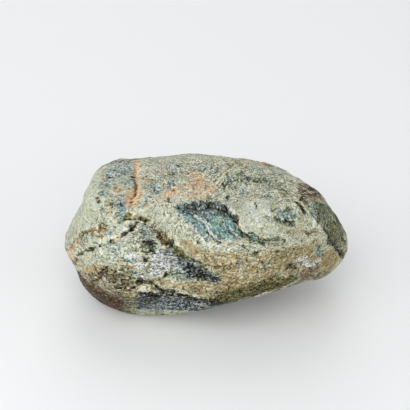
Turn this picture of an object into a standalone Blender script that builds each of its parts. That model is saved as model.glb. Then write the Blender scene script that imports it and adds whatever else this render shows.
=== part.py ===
"""Raw jade boulder: one river-worn stone of nephrite, lying on a small flat worn on its underside.

The body is a rounded polyhedron. Each worn flat is a plane, and a power sum of all the planes
rounds the edges between them. The weathered relief is then carved into it: ledges, where one
layer of the rock stands over the next, cracks, scoops, lumps and pits. They are drawn in
millimetres on two drawing planes, one square to the show face and one square to the back, from
the middle of the stone, u to the right and v up.
"""

import math

import bmesh
import bpy
import numpy as np

MM = 0.001

# Driving dimensions: the ellipsoid that the worn flats are set out from.
LENGTH = 252.0 * MM
DEPTH = 164.0 * MM
HEIGHT = 126.0 * MM
LIE_HEIGHT = 56.0 * MM  # middle of the stone above the surface that it lies on

# A higher power leaves the worn flats flatter and the edges between them tighter.
EDGE_POWER = 12.0

# Worn flats: azimuth from +X towards +Y and elevation of the outward normal, in degrees, then the
# distance from the middle as a share of the ellipsoid's own reach that way.
FLATS = (
    ("right tip", 358, -3, 1.05),
    ("right shoulder", 24, 30, 0.93),
    ("right back slope", 54, 49, 0.98),
    ("ridge", 83, 55, 1.06),
    ("left ridge", 98, 55, 1.045),
    ("left back slope", 143, 41, 1.23),
    ("left shoulder", 163, 22, 0.93),
    ("left tip", 184, -4, 1.06),
    ("left toe", 197, -22, 1.04),
    ("front left toe", 221, -43, 1.13),
    ("front keel", 255, -36, 1.0),
    ("front right keel", 294, -52, 0.77),
    ("right keel", 315, -45, 0.99),
    ("right foot", 336, -30, 1.15),
    ("crown", 100, 86, 0.98),
    ("show face", 268, 22, 0.97),
    ("right front cheek", 312, 12, 0.98),
    ("left front cheek", 222, 10, 1.01),
    ("back wall", 90, 0, 0.98),
    ("back right wall", 48, -5, 0.96),
    ("back left wall", 130, -5, 1.02),
    ("back keel", 90, -50, 0.96),
    ("back right keel", 40, -45, 0.98),
    ("back left keel", 140, -45, 0.98),
    ("underside", 270, -90, 1.02),
)

# Dents and swells of the whole body: where, in mm from the middle, the radius, and the height.
DENTS = {
    "left flank": ((-106, -8, 34), 22, -5.0),
    "left heel": ((-114, -24, -18), 16, -3.0),
    "right brow": ((107, -2, 34), 20, -4.0),
    "crest": ((-31, 49, 52), 18, -2.2),
    "left crest corner": ((-89, 30, 45), 16, 2.0),
    "left tip": ((-115, -10, 3), 13, 2.2),
    "left underside": ((-106, -36, -16), 14, -1.6),
    "right underside": ((97, -31, -17), 20, 4.8),
}

# The two drawing planes: azimuth and elevation of the side that each one faces, how far off the
# eye stands that the drawing is made from, and the height of the eye's line on the drawing.
SHOW_FACE = {"azimuth": 270, "elevation": 35, "eye": 968.0 * MM, "eye_line": 25.9 * MM}
BACK_FACE = {"azimuth": 90, "elevation": 10, "eye": 968.0 * MM, "eye_line": 0.0}

# Ledges. Each line is a row of (u, v, drop) in mm and runs so that the low side is on its right.
# reach is how far the low side takes to come back up to the body. wall and overhang are given
# where they differ from WALL and OVERHANG.
SHOW_LEDGES = {
    "crease": {
        "line": (
            (-56.5, 66, 0.5),
            (-55.5, 57, 2.5),
            (-54.5, 49, 4.0),
            (-54.5, 42, 4.5),
            (-56, 34, 4.0),
            (-59, 26, 3.0),
            (-64, 19, 1.5),
        ),
        "reach": 26,
        "wall": 5.5,
        "overhang": 0.1,
    },
    "main_body_edge": {
        "line": (
            (-71, 13, 0.3),
            (-65, 15, 2.5),
            (-58, 15.5, 4.5),
            (-51, 13, 6.0),
            (-42, 7, 7.0),
            (-35, -1, 8.0),
            (-26, -6, 9.0),
            (-15.5, -16, 9.5),
            (-5, -24.5, 8.0),
            (10, -35, 0.5),
        ),
        "reach": 26,
    },
    "lens_edge": {
        "line": (
            (-40, 29, 0.3),
            (-33, 29, 1.4),
            (-24, 27.5, 3.0),
            (-14, 27.5, 4.4),
            (-6, 28.8, 5.2),
            (8, 29, 5.6),
            (17, 27.2, 5.4),
            (22.5, 22.5, 5.0),
            (27, 18, 4.6),
            (30, 10, 4.2),
            (34, 4, 3.6),
            (42, -1, 2.6),
            (52, -4, 1.8),
            (66, -5, 0.2),
        ),
        "reach": 24,
    },
    "lower_lip_edge": {
        "line": (
            (-66, -51, 0.5),
            (-54, -49, 7.0),
            (-44, -47, 9.0),
            (-33, -48, 9.5),
            (-22, -50.5, 9.5),
            (-9, -53.5, 8.5),
            (6, -55.5, 7.0),
            (20, -55, 5.0),
            (34, -52.5, 4.0),
            (50, -48.5, 3.0),
            (72, -42.5, 2.0),
            (94, -36, 0.5),
        ),
        "reach": 30,
    },
    "right_end_edge": {
        "line": (
            (118, -26, 2.0),
            (113, -18, 4.0),
            (104.5, -6, 4.5),
            (100.5, 3, 3.5),
            (91, 15, 2.5),
            (83, 27, 2.0),
            (79, 42, 0.2),
        ),
        "reach": 30,
    },
    "left_layer_edge": {
        "line": (
            (-109, -18, 0.6),
            (-97, -11, 1.2),
            (-88, -7.5, 1.5),
            (-79, -4, 1.6),
            (-70, 0, 2.6),
            (-62, 9, 1.8),
        ),
        "reach": 16,
    },
    "toe_edge": {
        "line": (
            (-97, -48, 1.0),
            (-92, -38, 2.4),
            (-86.5, -29.5, 2.5),
            (-80, -25.5, 1.6),
            (-70, -25, 0.8),
            (-58, -27, 0.2),
        ),
        "reach": 20,
    },
    "chip_edge": {
        "line": (
            (-92.5, 2, 0.3),
            (-92.5, 7, 1.6),
            (-91.5, 11, 1.8),
            (-87, 12.8, 1.4),
            (-82, 12, 0.2),
        ),
        "reach": 8,
        "wall": 1.4,
    },
    "crest_layer": {
        "line": (
            (-20, 50, 0.2),
            (5, 47, 1.2),
            (32, 41, 1.6),
            (58, 35, 1.4),
            (80, 25, 0.2),
        ),
        "reach": 18,
    },
}
BACK_LEDGES = {
    "long_back_layer": {
        "line": (
            (-88, 6, 0.3),
            (-66, 12, 3.0),
            (-38, 13, 5.0),
            (-12, 17, 5.5),
            (14, 14, 4.5),
            (36, 17, 3.0),
            (62, 13, 2.5),
            (84, 17, 0.3),
        ),
        "reach": 30,
    },
    "back_foot_layer": {
        "line": (
            (-52, -28, 0.3),
            (-28, -23, 3.5),
            (0, -24, 5.0),
            (26, -29, 4.5),
            (50, -26, 3.0),
            (70, -30, 0.3),
        ),
        "reach": 22,
    },
    "left_back_step": {
        "line": (
            (70, 47, 0.3),
            (76, 32, 2.5),
            (72, 18, 3.5),
            (79, 2, 3.0),
            (76, -14, 0.3),
        ),
        "reach": 22,
    },
    "crown_crack_layer": {
        "line": (
            (-58, 40, 0.2),
            (-38, 36, 1.8),
            (-14, 38, 2.2),
            (8, 34, 1.8),
            (26, 36, 0.2),
        ),
        "reach": 14,
    },
}

# Cracks: rows of (u, v, depth) in mm, and the width across.
SHOW_CRACKS = {
    "left_layer_crack": {
        "line": (
            (-108, -18, 0.3),
            (-98, -12, 1.4),
            (-88, -8, 0.7),
            (-78, -4, 0.9),
            (-70, 0, 2.6),
            (-62, 8, 2.6),
            (-58, 11, 0.5),
        ),
        "width": 2.0,
    },
    "lip_shadow_crack": {
        "line": ((-45, -41, 0.5), (-40, -44, 2.2), (-35, -46, 2.5), (-27, -47, 2.2), (-20, -49, 0.6)),
        "width": 2.4,
    },
    "left_vein_upper": {
        "line": ((-117, -13, 0.3), (-110, -4, 0.8), (-104, 1.5, 1.0), (-97, 4, 0.9), (-92, 4.5, 0.3)),
        "width": 1.5,
    },
    "left_vein_lower": {
        "line": ((-101, 0, 0.3), (-95, 0.5, 0.9), (-90, -0.5, 0.9), (-85, 0.5, 0.3)),
        "width": 1.4,
    },
    "toe_crack": {
        "line": ((-95, -43, 0.5), (-90.5, -36, 1.8), (-86, -30, 1.8), (-81, -26, 1.0), (-75, -25, 0.3)),
        "width": 2.2,
    },
}
BACK_CRACKS = {
    "slanting_crack": {
        "line": ((-44, 34, 0.5), (-36, 16, 2.0), (-40, 2, 2.2), (-30, -12, 1.8), (-32, -26, 0.5)),
        "width": 2.6,
    },
    "short_crack": {
        "line": ((28, 8, 0.4), (42, -2, 1.8), (58, -5, 1.6), (72, -14, 0.4)),
        "width": 2.4,
    },
}

# Scoops and lumps: (u, v), the half sizes across, the turn in degrees and the height in mm, where
# a scoop is below zero.
SHOW_HUMPS = {
    "hollow_under_body": ((-34, -21), (30, 13), -22, -3.2),
    "lens_floor": ((4, 14), (27, 12), -28, -2.2),
    "left_flank_scoop": ((-107, 21), (15, 16), 50, -3.6),
    "chip_scar": ((-88, 4), (5.0, 6.5), 20, -0.9),
    "olive_pit": ((-48, -8), (6.5, 3.4), -12, -2.4),
    "brown_pit": ((-30, -7), (6.0, 3.6), -30, -2.2),
    "body_belly": ((35, -25), (46, 20), -8, 2.2),
    "pale_lobe": ((55, 12), (22, 15), -20, 1.8),
    "white_lobe": ((-62, -14), (15, 8), -12, 1.6),
    "toe_knob": ((-80, -38), (13, 11), 30, 1.8),
    "crest_swell": ((-22, 46), (30, 12), 8, 1.6),
    "left_swell": ((-84, 38), (17, 17), 30, 1.4),
    "right_dimple": ((86, -2), (12, 9), 20, -1.6),
    "right_low_scoop": ((84, -22), (20, 8), 14, -1.8),
}
BACK_HUMPS = {
    "back_belly": ((-26, -6), (34, 15), 6, 2.6),
    "back_scoop": ((28, 2), (26, 12), -10, -3.6),
    "left_back_lobe": ((84, 6), (18, 22), 0, 2.0),
    "right_back_scoop": ((-74, 0), (20, 17), 24, -3.0),
    "under_ledge_scoop": ((-6, 6), (30, 7), 4, -2.2),
    "crown_lobe": ((30, 44), (26, 10), -6, 1.8),
    "right_back_swell": ((-66, 32), (22, 10), 16, 1.6),
}

# Pits: rows of (u, v, half size, depth) in mm.
SHOW_PITS = (
    (-63, 6.5, 2.6, 3.4),
    (-70, 0.5, 2.9, 3.4),
    (-79.5, -3.5, 1.4, 1.8),
    (-97, -11, 1.8, 1.4),
    (-105, -16, 2.2, 1.4),
    (-46, -14.5, 2.4, 1.8),
    (-34, -34, 2.8, 1.8),
    (-57, -41, 3.4, 2.2),
    (82, 32, 2.6, 1.8),
    (90, 26, 2.0, 1.6),
    (88, 1, 2.6, 1.8),
    (68, -5, 2.0, 1.6),
    (29, 17, 2.2, 1.8),
    (-90, 28.7, 1.6, 0.7),
    (-31, 31, 1.8, 1.4),
    (-59, 36, 2.2, 1.8),
    (18, 44, 2.0, 1.4),
)
BACK_PITS = (
    (-37, 9, 3.0, 2.8),
    (-33, -18, 2.6, 2.2),
    (-8, 9, 2.4, 2.2),
    (16, -33, 2.8, 2.2),
    (48, -3, 2.4, 2.0),
    (60, 26, 2.4, 1.8),
    (-70, -20, 2.6, 2.0),
    (80, -24, 2.2, 1.8),
    (2, 30, 2.2, 1.6),
    (-90, 18, 2.0, 1.6),
)

WALL = 2.4  # how far a ledge's wall takes to fall, in mm
OVERHANG = 0.35  # how far a ledge stands out over its wall, as a share of its drop

# Uneven wear over the whole body: wave length and height. The waves are longer along the layers.
WEAR = ((62.0 * MM, 1.0 * MM), (27.0 * MM, 0.7 * MM), (12.0 * MM, 0.35 * MM))
WEAR_SEED = 130
LAYER_DIP = -9.0  # degrees the layers fall towards the right
LAYER_STRETCH = 2.2

FOOT_FREE = 16.0 * MM  # the relief dies out over this height above the foot

SURFACE_ROWS = 116  # rows of faces on each side of the cube that the surface is spread from
FACETS = 9400  # triangles kept


def unit(azimuth, elevation):
    """The unit vector at an azimuth and an elevation in degrees."""
    a, e = math.radians(azimuth), math.radians(elevation)
    return np.array([math.cos(a) * math.cos(e), math.sin(a) * math.cos(e), math.sin(e)])


def ease(x):
    """A smooth step from 0 at x = 0 to 1 at x = 1."""
    x = np.clip(x, 0, 1)
    return x * x * (3 - 2 * x)


def flat_planes():
    """The normals of the worn flats and their distances from the middle."""
    normals = np.array([unit(azimuth, elevation) for _, azimuth, elevation, _ in FLATS])
    half_sizes = np.array([LENGTH, DEPTH, HEIGHT]) / 2
    reach = np.linalg.norm(normals * half_sizes, axis=1)
    return normals, reach * np.array([share for *_, share in FLATS])


def worn_body(directions):
    """Points of the rounded polyhedron in each direction from the middle, and their normals."""
    normals, distances = flat_planes()
    facing = np.maximum(directions @ normals.T / distances, 0)
    radius = (facing**EDGE_POWER).sum(axis=1) ** (-1 / EDGE_POWER)
    outward = (facing ** (EDGE_POWER - 1) / distances) @ normals
    outward /= np.linalg.norm(outward, axis=1, keepdims=True)
    return directions * radius[:, None], outward


def ripple(points, wavelength, seed):
    """Seeded waves in every direction, about -1 to 1, longer along the layers than across."""
    rng = np.random.default_rng(seed)
    dip = math.radians(LAYER_DIP)
    along = points @ np.array([math.cos(dip), 0, math.sin(dip)])
    across = points @ np.array([-math.sin(dip), 0, math.cos(dip)])
    laid = np.stack([along / LAYER_STRETCH, points[:, 1] / LAYER_STRETCH, across], axis=1)
    total = np.zeros(len(points))
    for _ in range(14):
        heading = rng.normal(size=3)
        heading /= np.linalg.norm(heading)
        turns = rng.uniform(0.7, 1.4) / wavelength
        phase = rng.uniform(0, 2 * math.pi)
        bend = rng.normal(size=3)
        bend /= np.linalg.norm(bend)
        sway = np.sin(laid @ bend * (2 * math.pi * 0.45 / wavelength) + phase * 1.7)
        total += np.sin(laid @ heading * (2 * math.pi * turns) + phase + 1.1 * sway)
    return total / math.sqrt(14)


class Drawing:
    """Where points of the stone fall on a drawing plane, and how squarely they face it."""

    def __init__(self, face, points, outward):
        self.out = unit(face["azimuth"], face["elevation"])
        level = unit(face["azimuth"], 0)
        self.right = np.array([-level[1], level[0], 0.0])
        self.up = np.cross(self.out, self.right)
        eye = self.up * face["eye_line"] + self.out * face["eye"]
        sight = points - eye
        scale = face["eye"] / -(sight @ self.out)
        u = (sight @ self.right) * scale
        v = (sight @ self.up) * scale + face["eye_line"]
        self.uv = np.stack([u, v], axis=1)
        toward = -sight / np.linalg.norm(sight, axis=1, keepdims=True)
        self.facing = ease((np.sum(outward * toward, axis=1) + 0.05) / 0.3)


def smooth_line(rows, step=1.5):
    """A smooth curve through rows of (u, v, amount) in mm, as rows in metres."""
    rows = np.array(rows, dtype=float)
    rows = np.vstack([2 * rows[0] - rows[1], rows, 2 * rows[-1] - rows[-2]])
    curve = []
    for a, b, c, d in zip(rows, rows[1:], rows[2:], rows[3:]):
        count = max(2, int(np.linalg.norm((c - b)[:2]) / step))
        for t in np.arange(count) / count:
            bend = 2 * b + (c - a) * t + (2 * a - 5 * b + 4 * c - d) * t**2
            curve.append((bend + (3 * b - a - 3 * c + d) * t**3) / 2)
    curve.append(rows[-2])
    curve = np.array(curve)
    curve[:, 2] = np.maximum(curve[:, 2], 0)
    return curve * MM


def from_line(uv, curve, limit):
    """For each point: the signed distance off a curve, above zero on its right, the amount that
    the curve holds nearby, and the direction to its right. The amount dies out past the ends."""
    distance = np.full(len(uv), np.inf)
    amount = np.zeros(len(uv))
    side = np.zeros((len(uv), 2))
    low, high = curve[:, :2].min(axis=0) - limit, curve[:, :2].max(axis=0) + limit
    near = np.flatnonzero(np.all((uv > low) & (uv < high), axis=1))
    if len(near) == 0:
        return distance, amount, side
    start, run = curve[:-1, :2], np.diff(curve[:, :2], axis=0)
    length = np.linalg.norm(run, axis=1)
    off = uv[near][:, None, :] - start
    t = np.clip(np.einsum("nki,ki->nk", off, run) / length**2, 0, 1)
    off -= t[:, :, None] * run
    far = np.linalg.norm(off, axis=2)
    best = far.argmin(axis=1)
    nearest = np.arange(len(near)), best
    right = np.stack([run[:, 1], -run[:, 0]], axis=1) / length[:, None]
    held = curve[:-1, 2] + t * np.diff(curve[:, 2])
    share = np.exp((far[nearest][:, None] - far) / (1 * MM + 0.35 * far[nearest][:, None]))
    beyond = np.abs(np.einsum("ni,ni->n", off[nearest], run[best] / length[best][:, None]))
    beyond *= (best == 0) & (t[nearest] == 0) | (best == len(run) - 1) & (t[nearest] == 1)
    side_of = np.where(np.einsum("ni,ni->n", off[nearest], right[best]) >= 0, 1, -1)
    distance[near] = far[nearest] * side_of
    amount[near] = (share * held).sum(axis=1) / share.sum(axis=1)
    amount[near] *= np.exp(-((beyond / (9 * MM)) ** 2))
    side[near] = right[best]
    return distance, amount, side


def ledge(drawing, row, waver):
    """The drop on the low side of a ledge and the push that makes its edge stand over its wall."""
    reach = row["reach"] * MM
    wall = row.get("wall", WALL) * MM
    distance, drop, side = from_line(drawing.uv, smooth_line(row["line"]), 2.5 * reach)
    distance = distance + waver * np.clip(drop / (4 * MM), 0, 1)
    fall = ease(distance / wall) * np.exp(-((np.maximum(distance, 0) / reach) ** 2))
    rolled = 0.18 * np.exp(np.minimum(distance, 0) / (3 * MM)) * (1 - ease(distance / wall))
    height = -drop * (fall + rolled) * drawing.facing
    edge = np.exp(np.minimum(distance, 0) / (4 * MM)) * (1 - ease(distance / wall))
    push = (row.get("overhang", OVERHANG) * drop * edge * drawing.facing)[:, None]
    return height, push * (side[:, :1] * drawing.right + side[:, 1:] * drawing.up)


def crack(drawing, line, width, waver):
    """The depth of a V-shaped crack along a line."""
    distance, depth, _ = from_line(drawing.uv, smooth_line(line), 4 * width * MM)
    distance = distance + waver
    return -depth * np.exp(-((distance / (0.6 * width * MM)) ** 2)) * drawing.facing


def hump(drawing, middle, half_sizes, turn, height):
    """The height of a lump, or of a scoop if it is below zero."""
    t = math.radians(turn)
    off = drawing.uv - np.array(middle) * MM
    along = (off[:, 0] * math.cos(t) + off[:, 1] * math.sin(t)) / (half_sizes[0] * MM)
    across = (off[:, 1] * math.cos(t) - off[:, 0] * math.sin(t)) / (half_sizes[1] * MM)
    return height * MM * np.exp(-((along**2 + across**2) ** 1.25)) * drawing.facing


def pit(drawing, u, v, half_size, depth, waver):
    """The depth of a small steep pit."""
    off = np.linalg.norm(drawing.uv - np.array([u, v]) * MM, axis=1) + waver
    return -depth * MM * (1 - ease((off / (half_size * MM) - 0.35) / 0.9)) * drawing.facing


def weathered(points, outward):
    """The worn body with all of its relief, lying on its foot."""
    lift = np.zeros(len(points))
    for n, (wavelength, height) in enumerate(WEAR):
        lift += height * ripple(points, wavelength, WEAR_SEED + n)
    for place, radius, height in DENTS.values():
        off = np.linalg.norm(points - np.array(place) * MM, axis=1) / (radius * MM)
        lift += height * MM * np.exp(-(off**2))
    waver = 0.8 * MM * ripple(points, 9 * MM, 41)
    push = np.zeros_like(points)
    sides = (
        (SHOW_FACE, SHOW_LEDGES, SHOW_CRACKS, SHOW_HUMPS, SHOW_PITS),
        (BACK_FACE, BACK_LEDGES, BACK_CRACKS, BACK_HUMPS, BACK_PITS),
    )
    for face, ledges, cracks, humps, pits in sides:
        drawing = Drawing(face, points, outward)
        for row in ledges.values():
            height, across = ledge(drawing, row, waver)
            lift += height
            push += across
        for row in cracks.values():
            lift += crack(drawing, row["line"], row["width"], waver)
        for middle, half_sizes, turn, height in humps.values():
            lift += hump(drawing, middle, half_sizes, turn, height)
        for u, v, half_size, depth in pits:
            lift += pit(drawing, u, v, half_size, depth, waver)
    above = points[:, 2] + LIE_HEIGHT
    free = ease(above / FOOT_FREE)[:, None]
    worn = points + free * (outward * lift[:, None] + push)
    worn[:, 2] = np.maximum(worn[:, 2] + LIE_HEIGHT, 0)
    return worn


def cube_rows(rows):
    """Directions spread over the sides of a cube and the faces between them."""
    spread = np.tan(np.linspace(-1, 1, rows + 1) * math.pi / 4)
    numbers = {}
    places = []
    faces = []

    def number(place):
        key = tuple(np.round(place, 9))
        if key not in numbers:
            numbers[key] = len(places)
            places.append(place)
        return numbers[key]

    for axis in range(3):
        for sign in (-1, 1):
            grid = []
            for a in spread:
                row = []
                for b in spread:
                    place = np.zeros(3)
                    place[axis] = sign
                    place[(axis + 1) % 3] = a
                    place[(axis + 2) % 3] = b
                    row.append(number(place))
                grid.append(row)
            for i in range(rows):
                for j in range(rows):
                    face = (grid[i][j], grid[i + 1][j], grid[i + 1][j + 1], grid[i][j + 1])
                    faces.append(face if sign > 0 else face[::-1])
    return np.array(places), faces


def build():
    """The stone as one closed mesh."""
    places, faces = cube_rows(SURFACE_ROWS)
    directions = places * np.array([LENGTH, DEPTH, HEIGHT])
    directions /= np.linalg.norm(directions, axis=1, keepdims=True)
    worn = weathered(*worn_body(directions))
    worn[:, 0] -= (worn[:, 0].min() + worn[:, 0].max()) / 2
    worn[:, 1] -= (worn[:, 1].min() + worn[:, 1].max()) / 2
    bm = bmesh.new()
    corners = [bm.verts.new(corner) for corner in worn.tolist()]
    for face in faces:
        bm.faces.new([corners[n] for n in face])
    bmesh.ops.triangulate(bm, faces=bm.faces[:])
    mesh = bpy.data.meshes.new("jade_boulder")
    bm.to_mesh(mesh)
    bm.free()
    stone = bpy.data.objects.new("jade_boulder", mesh)
    bpy.context.collection.objects.link(stone)
    fewer = stone.modifiers.new("fewer facets", "DECIMATE")
    fewer.ratio = FACETS / (12 * SURFACE_ROWS**2)
    return stone


def nephrite():
    """Weathered nephrite, a pale grey green, dull."""
    material = bpy.data.materials.new("nephrite_rind")
    material.use_nodes = True
    shader = material.node_tree.nodes["Principled BSDF"]
    shader.inputs["Base Color"].default_value = (0.43, 0.46, 0.36, 1.0)
    shader.inputs["Roughness"].default_value = 0.62
    return material


if __name__ == "__main__":
    for old in list(bpy.data.objects):
        bpy.data.objects.remove(old)
    build().data.materials.append(nephrite())
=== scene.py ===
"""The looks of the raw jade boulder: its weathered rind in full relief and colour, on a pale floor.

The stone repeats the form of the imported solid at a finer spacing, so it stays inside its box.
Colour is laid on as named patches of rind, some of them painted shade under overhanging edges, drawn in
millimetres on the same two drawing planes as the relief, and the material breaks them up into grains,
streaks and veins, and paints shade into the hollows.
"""

import math

import bpy
import numpy as np
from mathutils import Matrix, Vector


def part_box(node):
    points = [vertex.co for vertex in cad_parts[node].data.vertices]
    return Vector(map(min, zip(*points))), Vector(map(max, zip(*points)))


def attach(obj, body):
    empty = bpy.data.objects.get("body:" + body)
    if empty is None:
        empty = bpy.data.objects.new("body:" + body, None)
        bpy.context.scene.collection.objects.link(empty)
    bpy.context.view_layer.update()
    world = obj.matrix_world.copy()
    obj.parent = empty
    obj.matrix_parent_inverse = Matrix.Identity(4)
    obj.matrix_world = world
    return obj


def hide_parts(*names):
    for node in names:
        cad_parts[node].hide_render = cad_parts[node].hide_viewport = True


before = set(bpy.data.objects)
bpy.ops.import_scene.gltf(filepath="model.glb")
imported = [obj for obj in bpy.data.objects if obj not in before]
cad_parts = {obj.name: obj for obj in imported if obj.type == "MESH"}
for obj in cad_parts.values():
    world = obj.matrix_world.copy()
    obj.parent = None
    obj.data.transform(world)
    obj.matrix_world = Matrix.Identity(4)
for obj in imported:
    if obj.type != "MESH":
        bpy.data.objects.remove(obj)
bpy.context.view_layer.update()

MM = 0.001

# ---------------------------------------------------------------- the stone's form

LENGTH = 252.0 * MM
DEPTH = 164.0 * MM
HEIGHT = 126.0 * MM
LIE_HEIGHT = 56.0 * MM
EDGE_POWER = 12.0

# The worn flats: azimuth and elevation in degrees, and how far out, as a share of the way out to
# the flat's place on a plain ellipsoid.
FLATS = (
    ("right tip", 358, -3, 1.05),
    ("right shoulder", 24, 30, 0.93),
    ("right back slope", 54, 49, 0.98),
    ("ridge", 83, 55, 1.06),
    ("left ridge", 98, 55, 1.045),
    ("left back slope", 143, 41, 1.23),
    ("left shoulder", 163, 22, 0.93),
    ("left tip", 184, -4, 1.06),
    ("left toe", 197, -22, 1.04),
    ("front left toe", 221, -43, 1.13),
    ("front keel", 255, -36, 1.0),
    ("front right keel", 294, -52, 0.77),
    ("right keel", 315, -45, 0.99),
    ("right foot", 336, -30, 1.15),
    ("crown", 100, 86, 0.98),
    ("show face", 268, 22, 0.97),
    ("right front cheek", 312, 12, 0.98),
    ("left front cheek", 222, 10, 1.01),
    ("back wall", 90, 0, 0.98),
    ("back right wall", 48, -5, 0.96),
    ("back left wall", 130, -5, 1.02),
    ("back keel", 90, -50, 0.96),
    ("back right keel", 40, -45, 0.98),
    ("back left keel", 140, -45, 0.98),
    ("underside", 270, -90, 1.02),
)

# Soft dents and swells: middle, radius and height in mm.
DENTS = {
    "left flank": ((-106, -8, 34), 22, -5.0),
    "left heel": ((-114, -24, -18), 16, -3.0),
    "right brow": ((107, -2, 34), 20, -4.0),
    "crest": ((-31, 49, 52), 18, -2.2),
    "left crest corner": ((-89, 30, 45), 16, 2.0),
    "left tip": ((-115, -10, 3), 13, 2.2),
    "left underside": ((-106, -36, -16), 14, -1.6),
    "right underside": ((97, -31, -17), 20, 4.8),
}

SHOW_FACE = {"azimuth": 270, "elevation": 35, "eye": 968.0 * MM, "eye_line": 25.9 * MM}
BACK_FACE = {"azimuth": 90, "elevation": 10, "eye": 968.0 * MM, "eye_line": 0.0}

# Relief is drawn in mm on a drawing plane. A ledge is a line of (u, v, drop), with its low side on
# its right, the reach of that side and, where they differ, the width of its wall and its overhang.
SHOW_LEDGES = {
    "crease": {
        "line": (
            (-56.5, 66, 0.5), (-55.5, 57, 2.5), (-54.5, 49, 4.0), (-54.5, 42, 4.5), (-56, 34, 4.0),
            (-59, 26, 3.0), (-64, 19, 1.5),
        ),
        "reach": 26, "wall": 5.5, "overhang": 0.1,
    },
    "main_body_edge": {
        "line": (
            (-71, 13, 0.3), (-65, 15, 2.5), (-58, 15.5, 4.5), (-51, 13, 6.0), (-42, 7, 7.0), (-35, -1, 8.0),
            (-26, -6, 9.0), (-15.5, -16, 9.5), (-5, -24.5, 8.0), (10, -35, 0.5),
        ),
        "reach": 26,
    },
    "lens_edge": {
        "line": (
            (-40, 29, 0.3), (-33, 29, 1.4), (-24, 27.5, 3.0), (-14, 27.5, 4.4), (-6, 28.8, 5.2),
            (8, 29, 5.6), (17, 27.2, 5.4), (22.5, 22.5, 5.0), (27, 18, 4.6), (30, 10, 4.2), (34, 4, 3.6),
            (42, -1, 2.6), (52, -4, 1.8), (66, -5, 0.2),
        ),
        "reach": 24,
    },
    "lower_lip_edge": {
        "line": (
            (-66, -51, 0.5), (-54, -49, 7.0), (-44, -47, 9.0), (-33, -48, 9.5), (-22, -50.5, 9.5),
            (-9, -53.5, 8.5), (6, -55.5, 7.0), (20, -55, 5.0), (34, -52.5, 4.0), (50, -48.5, 3.0),
            (72, -42.5, 2.0), (94, -36, 0.5),
        ),
        "reach": 30,
    },
    "right_end_edge": {
        "line": (
            (118, -26, 2.0), (113, -18, 4.0), (104.5, -6, 4.5), (100.5, 3, 3.5), (91, 15, 2.5),
            (83, 27, 2.0), (79, 42, 0.2),
        ),
        "reach": 30,
    },
    "left_layer_edge": {
        "line": (
            (-109, -18, 0.6), (-97, -11, 1.2), (-88, -7.5, 1.5), (-79, -4, 1.6), (-70, 0, 2.6),
            (-62, 9, 1.8),
        ),
        "reach": 16,
    },
    "toe_edge": {
        "line": (
            (-97, -48, 1.0), (-92, -38, 2.4), (-86.5, -29.5, 2.5), (-80, -25.5, 1.6), (-70, -25, 0.8),
            (-58, -27, 0.2),
        ),
        "reach": 20,
    },
    "chip_edge": {
        "line": (
            (-92.5, 2, 0.3), (-92.5, 7, 1.6), (-91.5, 11, 1.8), (-87, 12.8, 1.4), (-82, 12, 0.2),
        ),
        "reach": 8, "wall": 1.4,
    },
    "crest_layer": {
        "line": (
            (-20, 50, 0.2), (5, 47, 1.2), (32, 41, 1.6), (58, 35, 1.4), (80, 25, 0.2),
        ),
        "reach": 18,
    },
}
BACK_LEDGES = {
    "long_back_layer": {
        "line": (
            (-88, 6, 0.3), (-66, 12, 3.0), (-38, 13, 5.0), (-12, 17, 5.5), (14, 14, 4.5), (36, 17, 3.0),
            (62, 13, 2.5), (84, 17, 0.3),
        ),
        "reach": 30,
    },
    "back_foot_layer": {
        "line": (
            (-52, -28, 0.3), (-28, -23, 3.5), (0, -24, 5.0), (26, -29, 4.5), (50, -26, 3.0), (70, -30, 0.3),
        ),
        "reach": 22,
    },
    "left_back_step": {
        "line": (
            (70, 47, 0.3), (76, 32, 2.5), (72, 18, 3.5), (79, 2, 3.0), (76, -14, 0.3),
        ),
        "reach": 22,
    },
    "crown_crack_layer": {
        "line": (
            (-58, 40, 0.2), (-38, 36, 1.8), (-14, 38, 2.2), (8, 34, 1.8), (26, 36, 0.2),
        ),
        "reach": 14,
    },
}

# A crack is a line of (u, v, depth) and a width.
SHOW_CRACKS = {
    "left_layer_crack": {
        "line": (
            (-108, -18, 0.3), (-98, -12, 1.4), (-88, -8, 0.7), (-78, -4, 0.9), (-70, 0, 2.6), (-62, 8, 2.6),
            (-58, 11, 0.5),
        ),
        "width": 2.0,
    },
    "lip_shadow_crack": {
        "line": ((-45, -41, 0.5), (-40, -44, 2.2), (-35, -46, 2.5), (-27, -47, 2.2), (-20, -49, 0.6)),
        "width": 2.4,
    },
    "left_vein_upper": {
        "line": ((-117, -13, 0.3), (-110, -4, 0.8), (-104, 1.5, 1.0), (-97, 4, 0.9), (-92, 4.5, 0.3)),
        "width": 1.5,
    },
    "left_vein_lower": {
        "line": ((-101, 0, 0.3), (-95, 0.5, 0.9), (-90, -0.5, 0.9), (-85, 0.5, 0.3)),
        "width": 1.4,
    },
    "toe_crack": {
        "line": ((-95, -43, 0.5), (-90.5, -36, 1.8), (-86, -30, 1.8), (-81, -26, 1.0), (-75, -25, 0.3)),
        "width": 2.2,
    },
}
BACK_CRACKS = {
    "slanting_crack": {
        "line": ((-44, 34, 0.5), (-36, 16, 2.0), (-40, 2, 2.2), (-30, -12, 1.8), (-32, -26, 0.5)),
        "width": 2.6,
    },
    "short_crack": {
        "line": ((28, 8, 0.4), (42, -2, 1.8), (58, -5, 1.6), (72, -14, 0.4)),
        "width": 2.4,
    },
}

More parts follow.
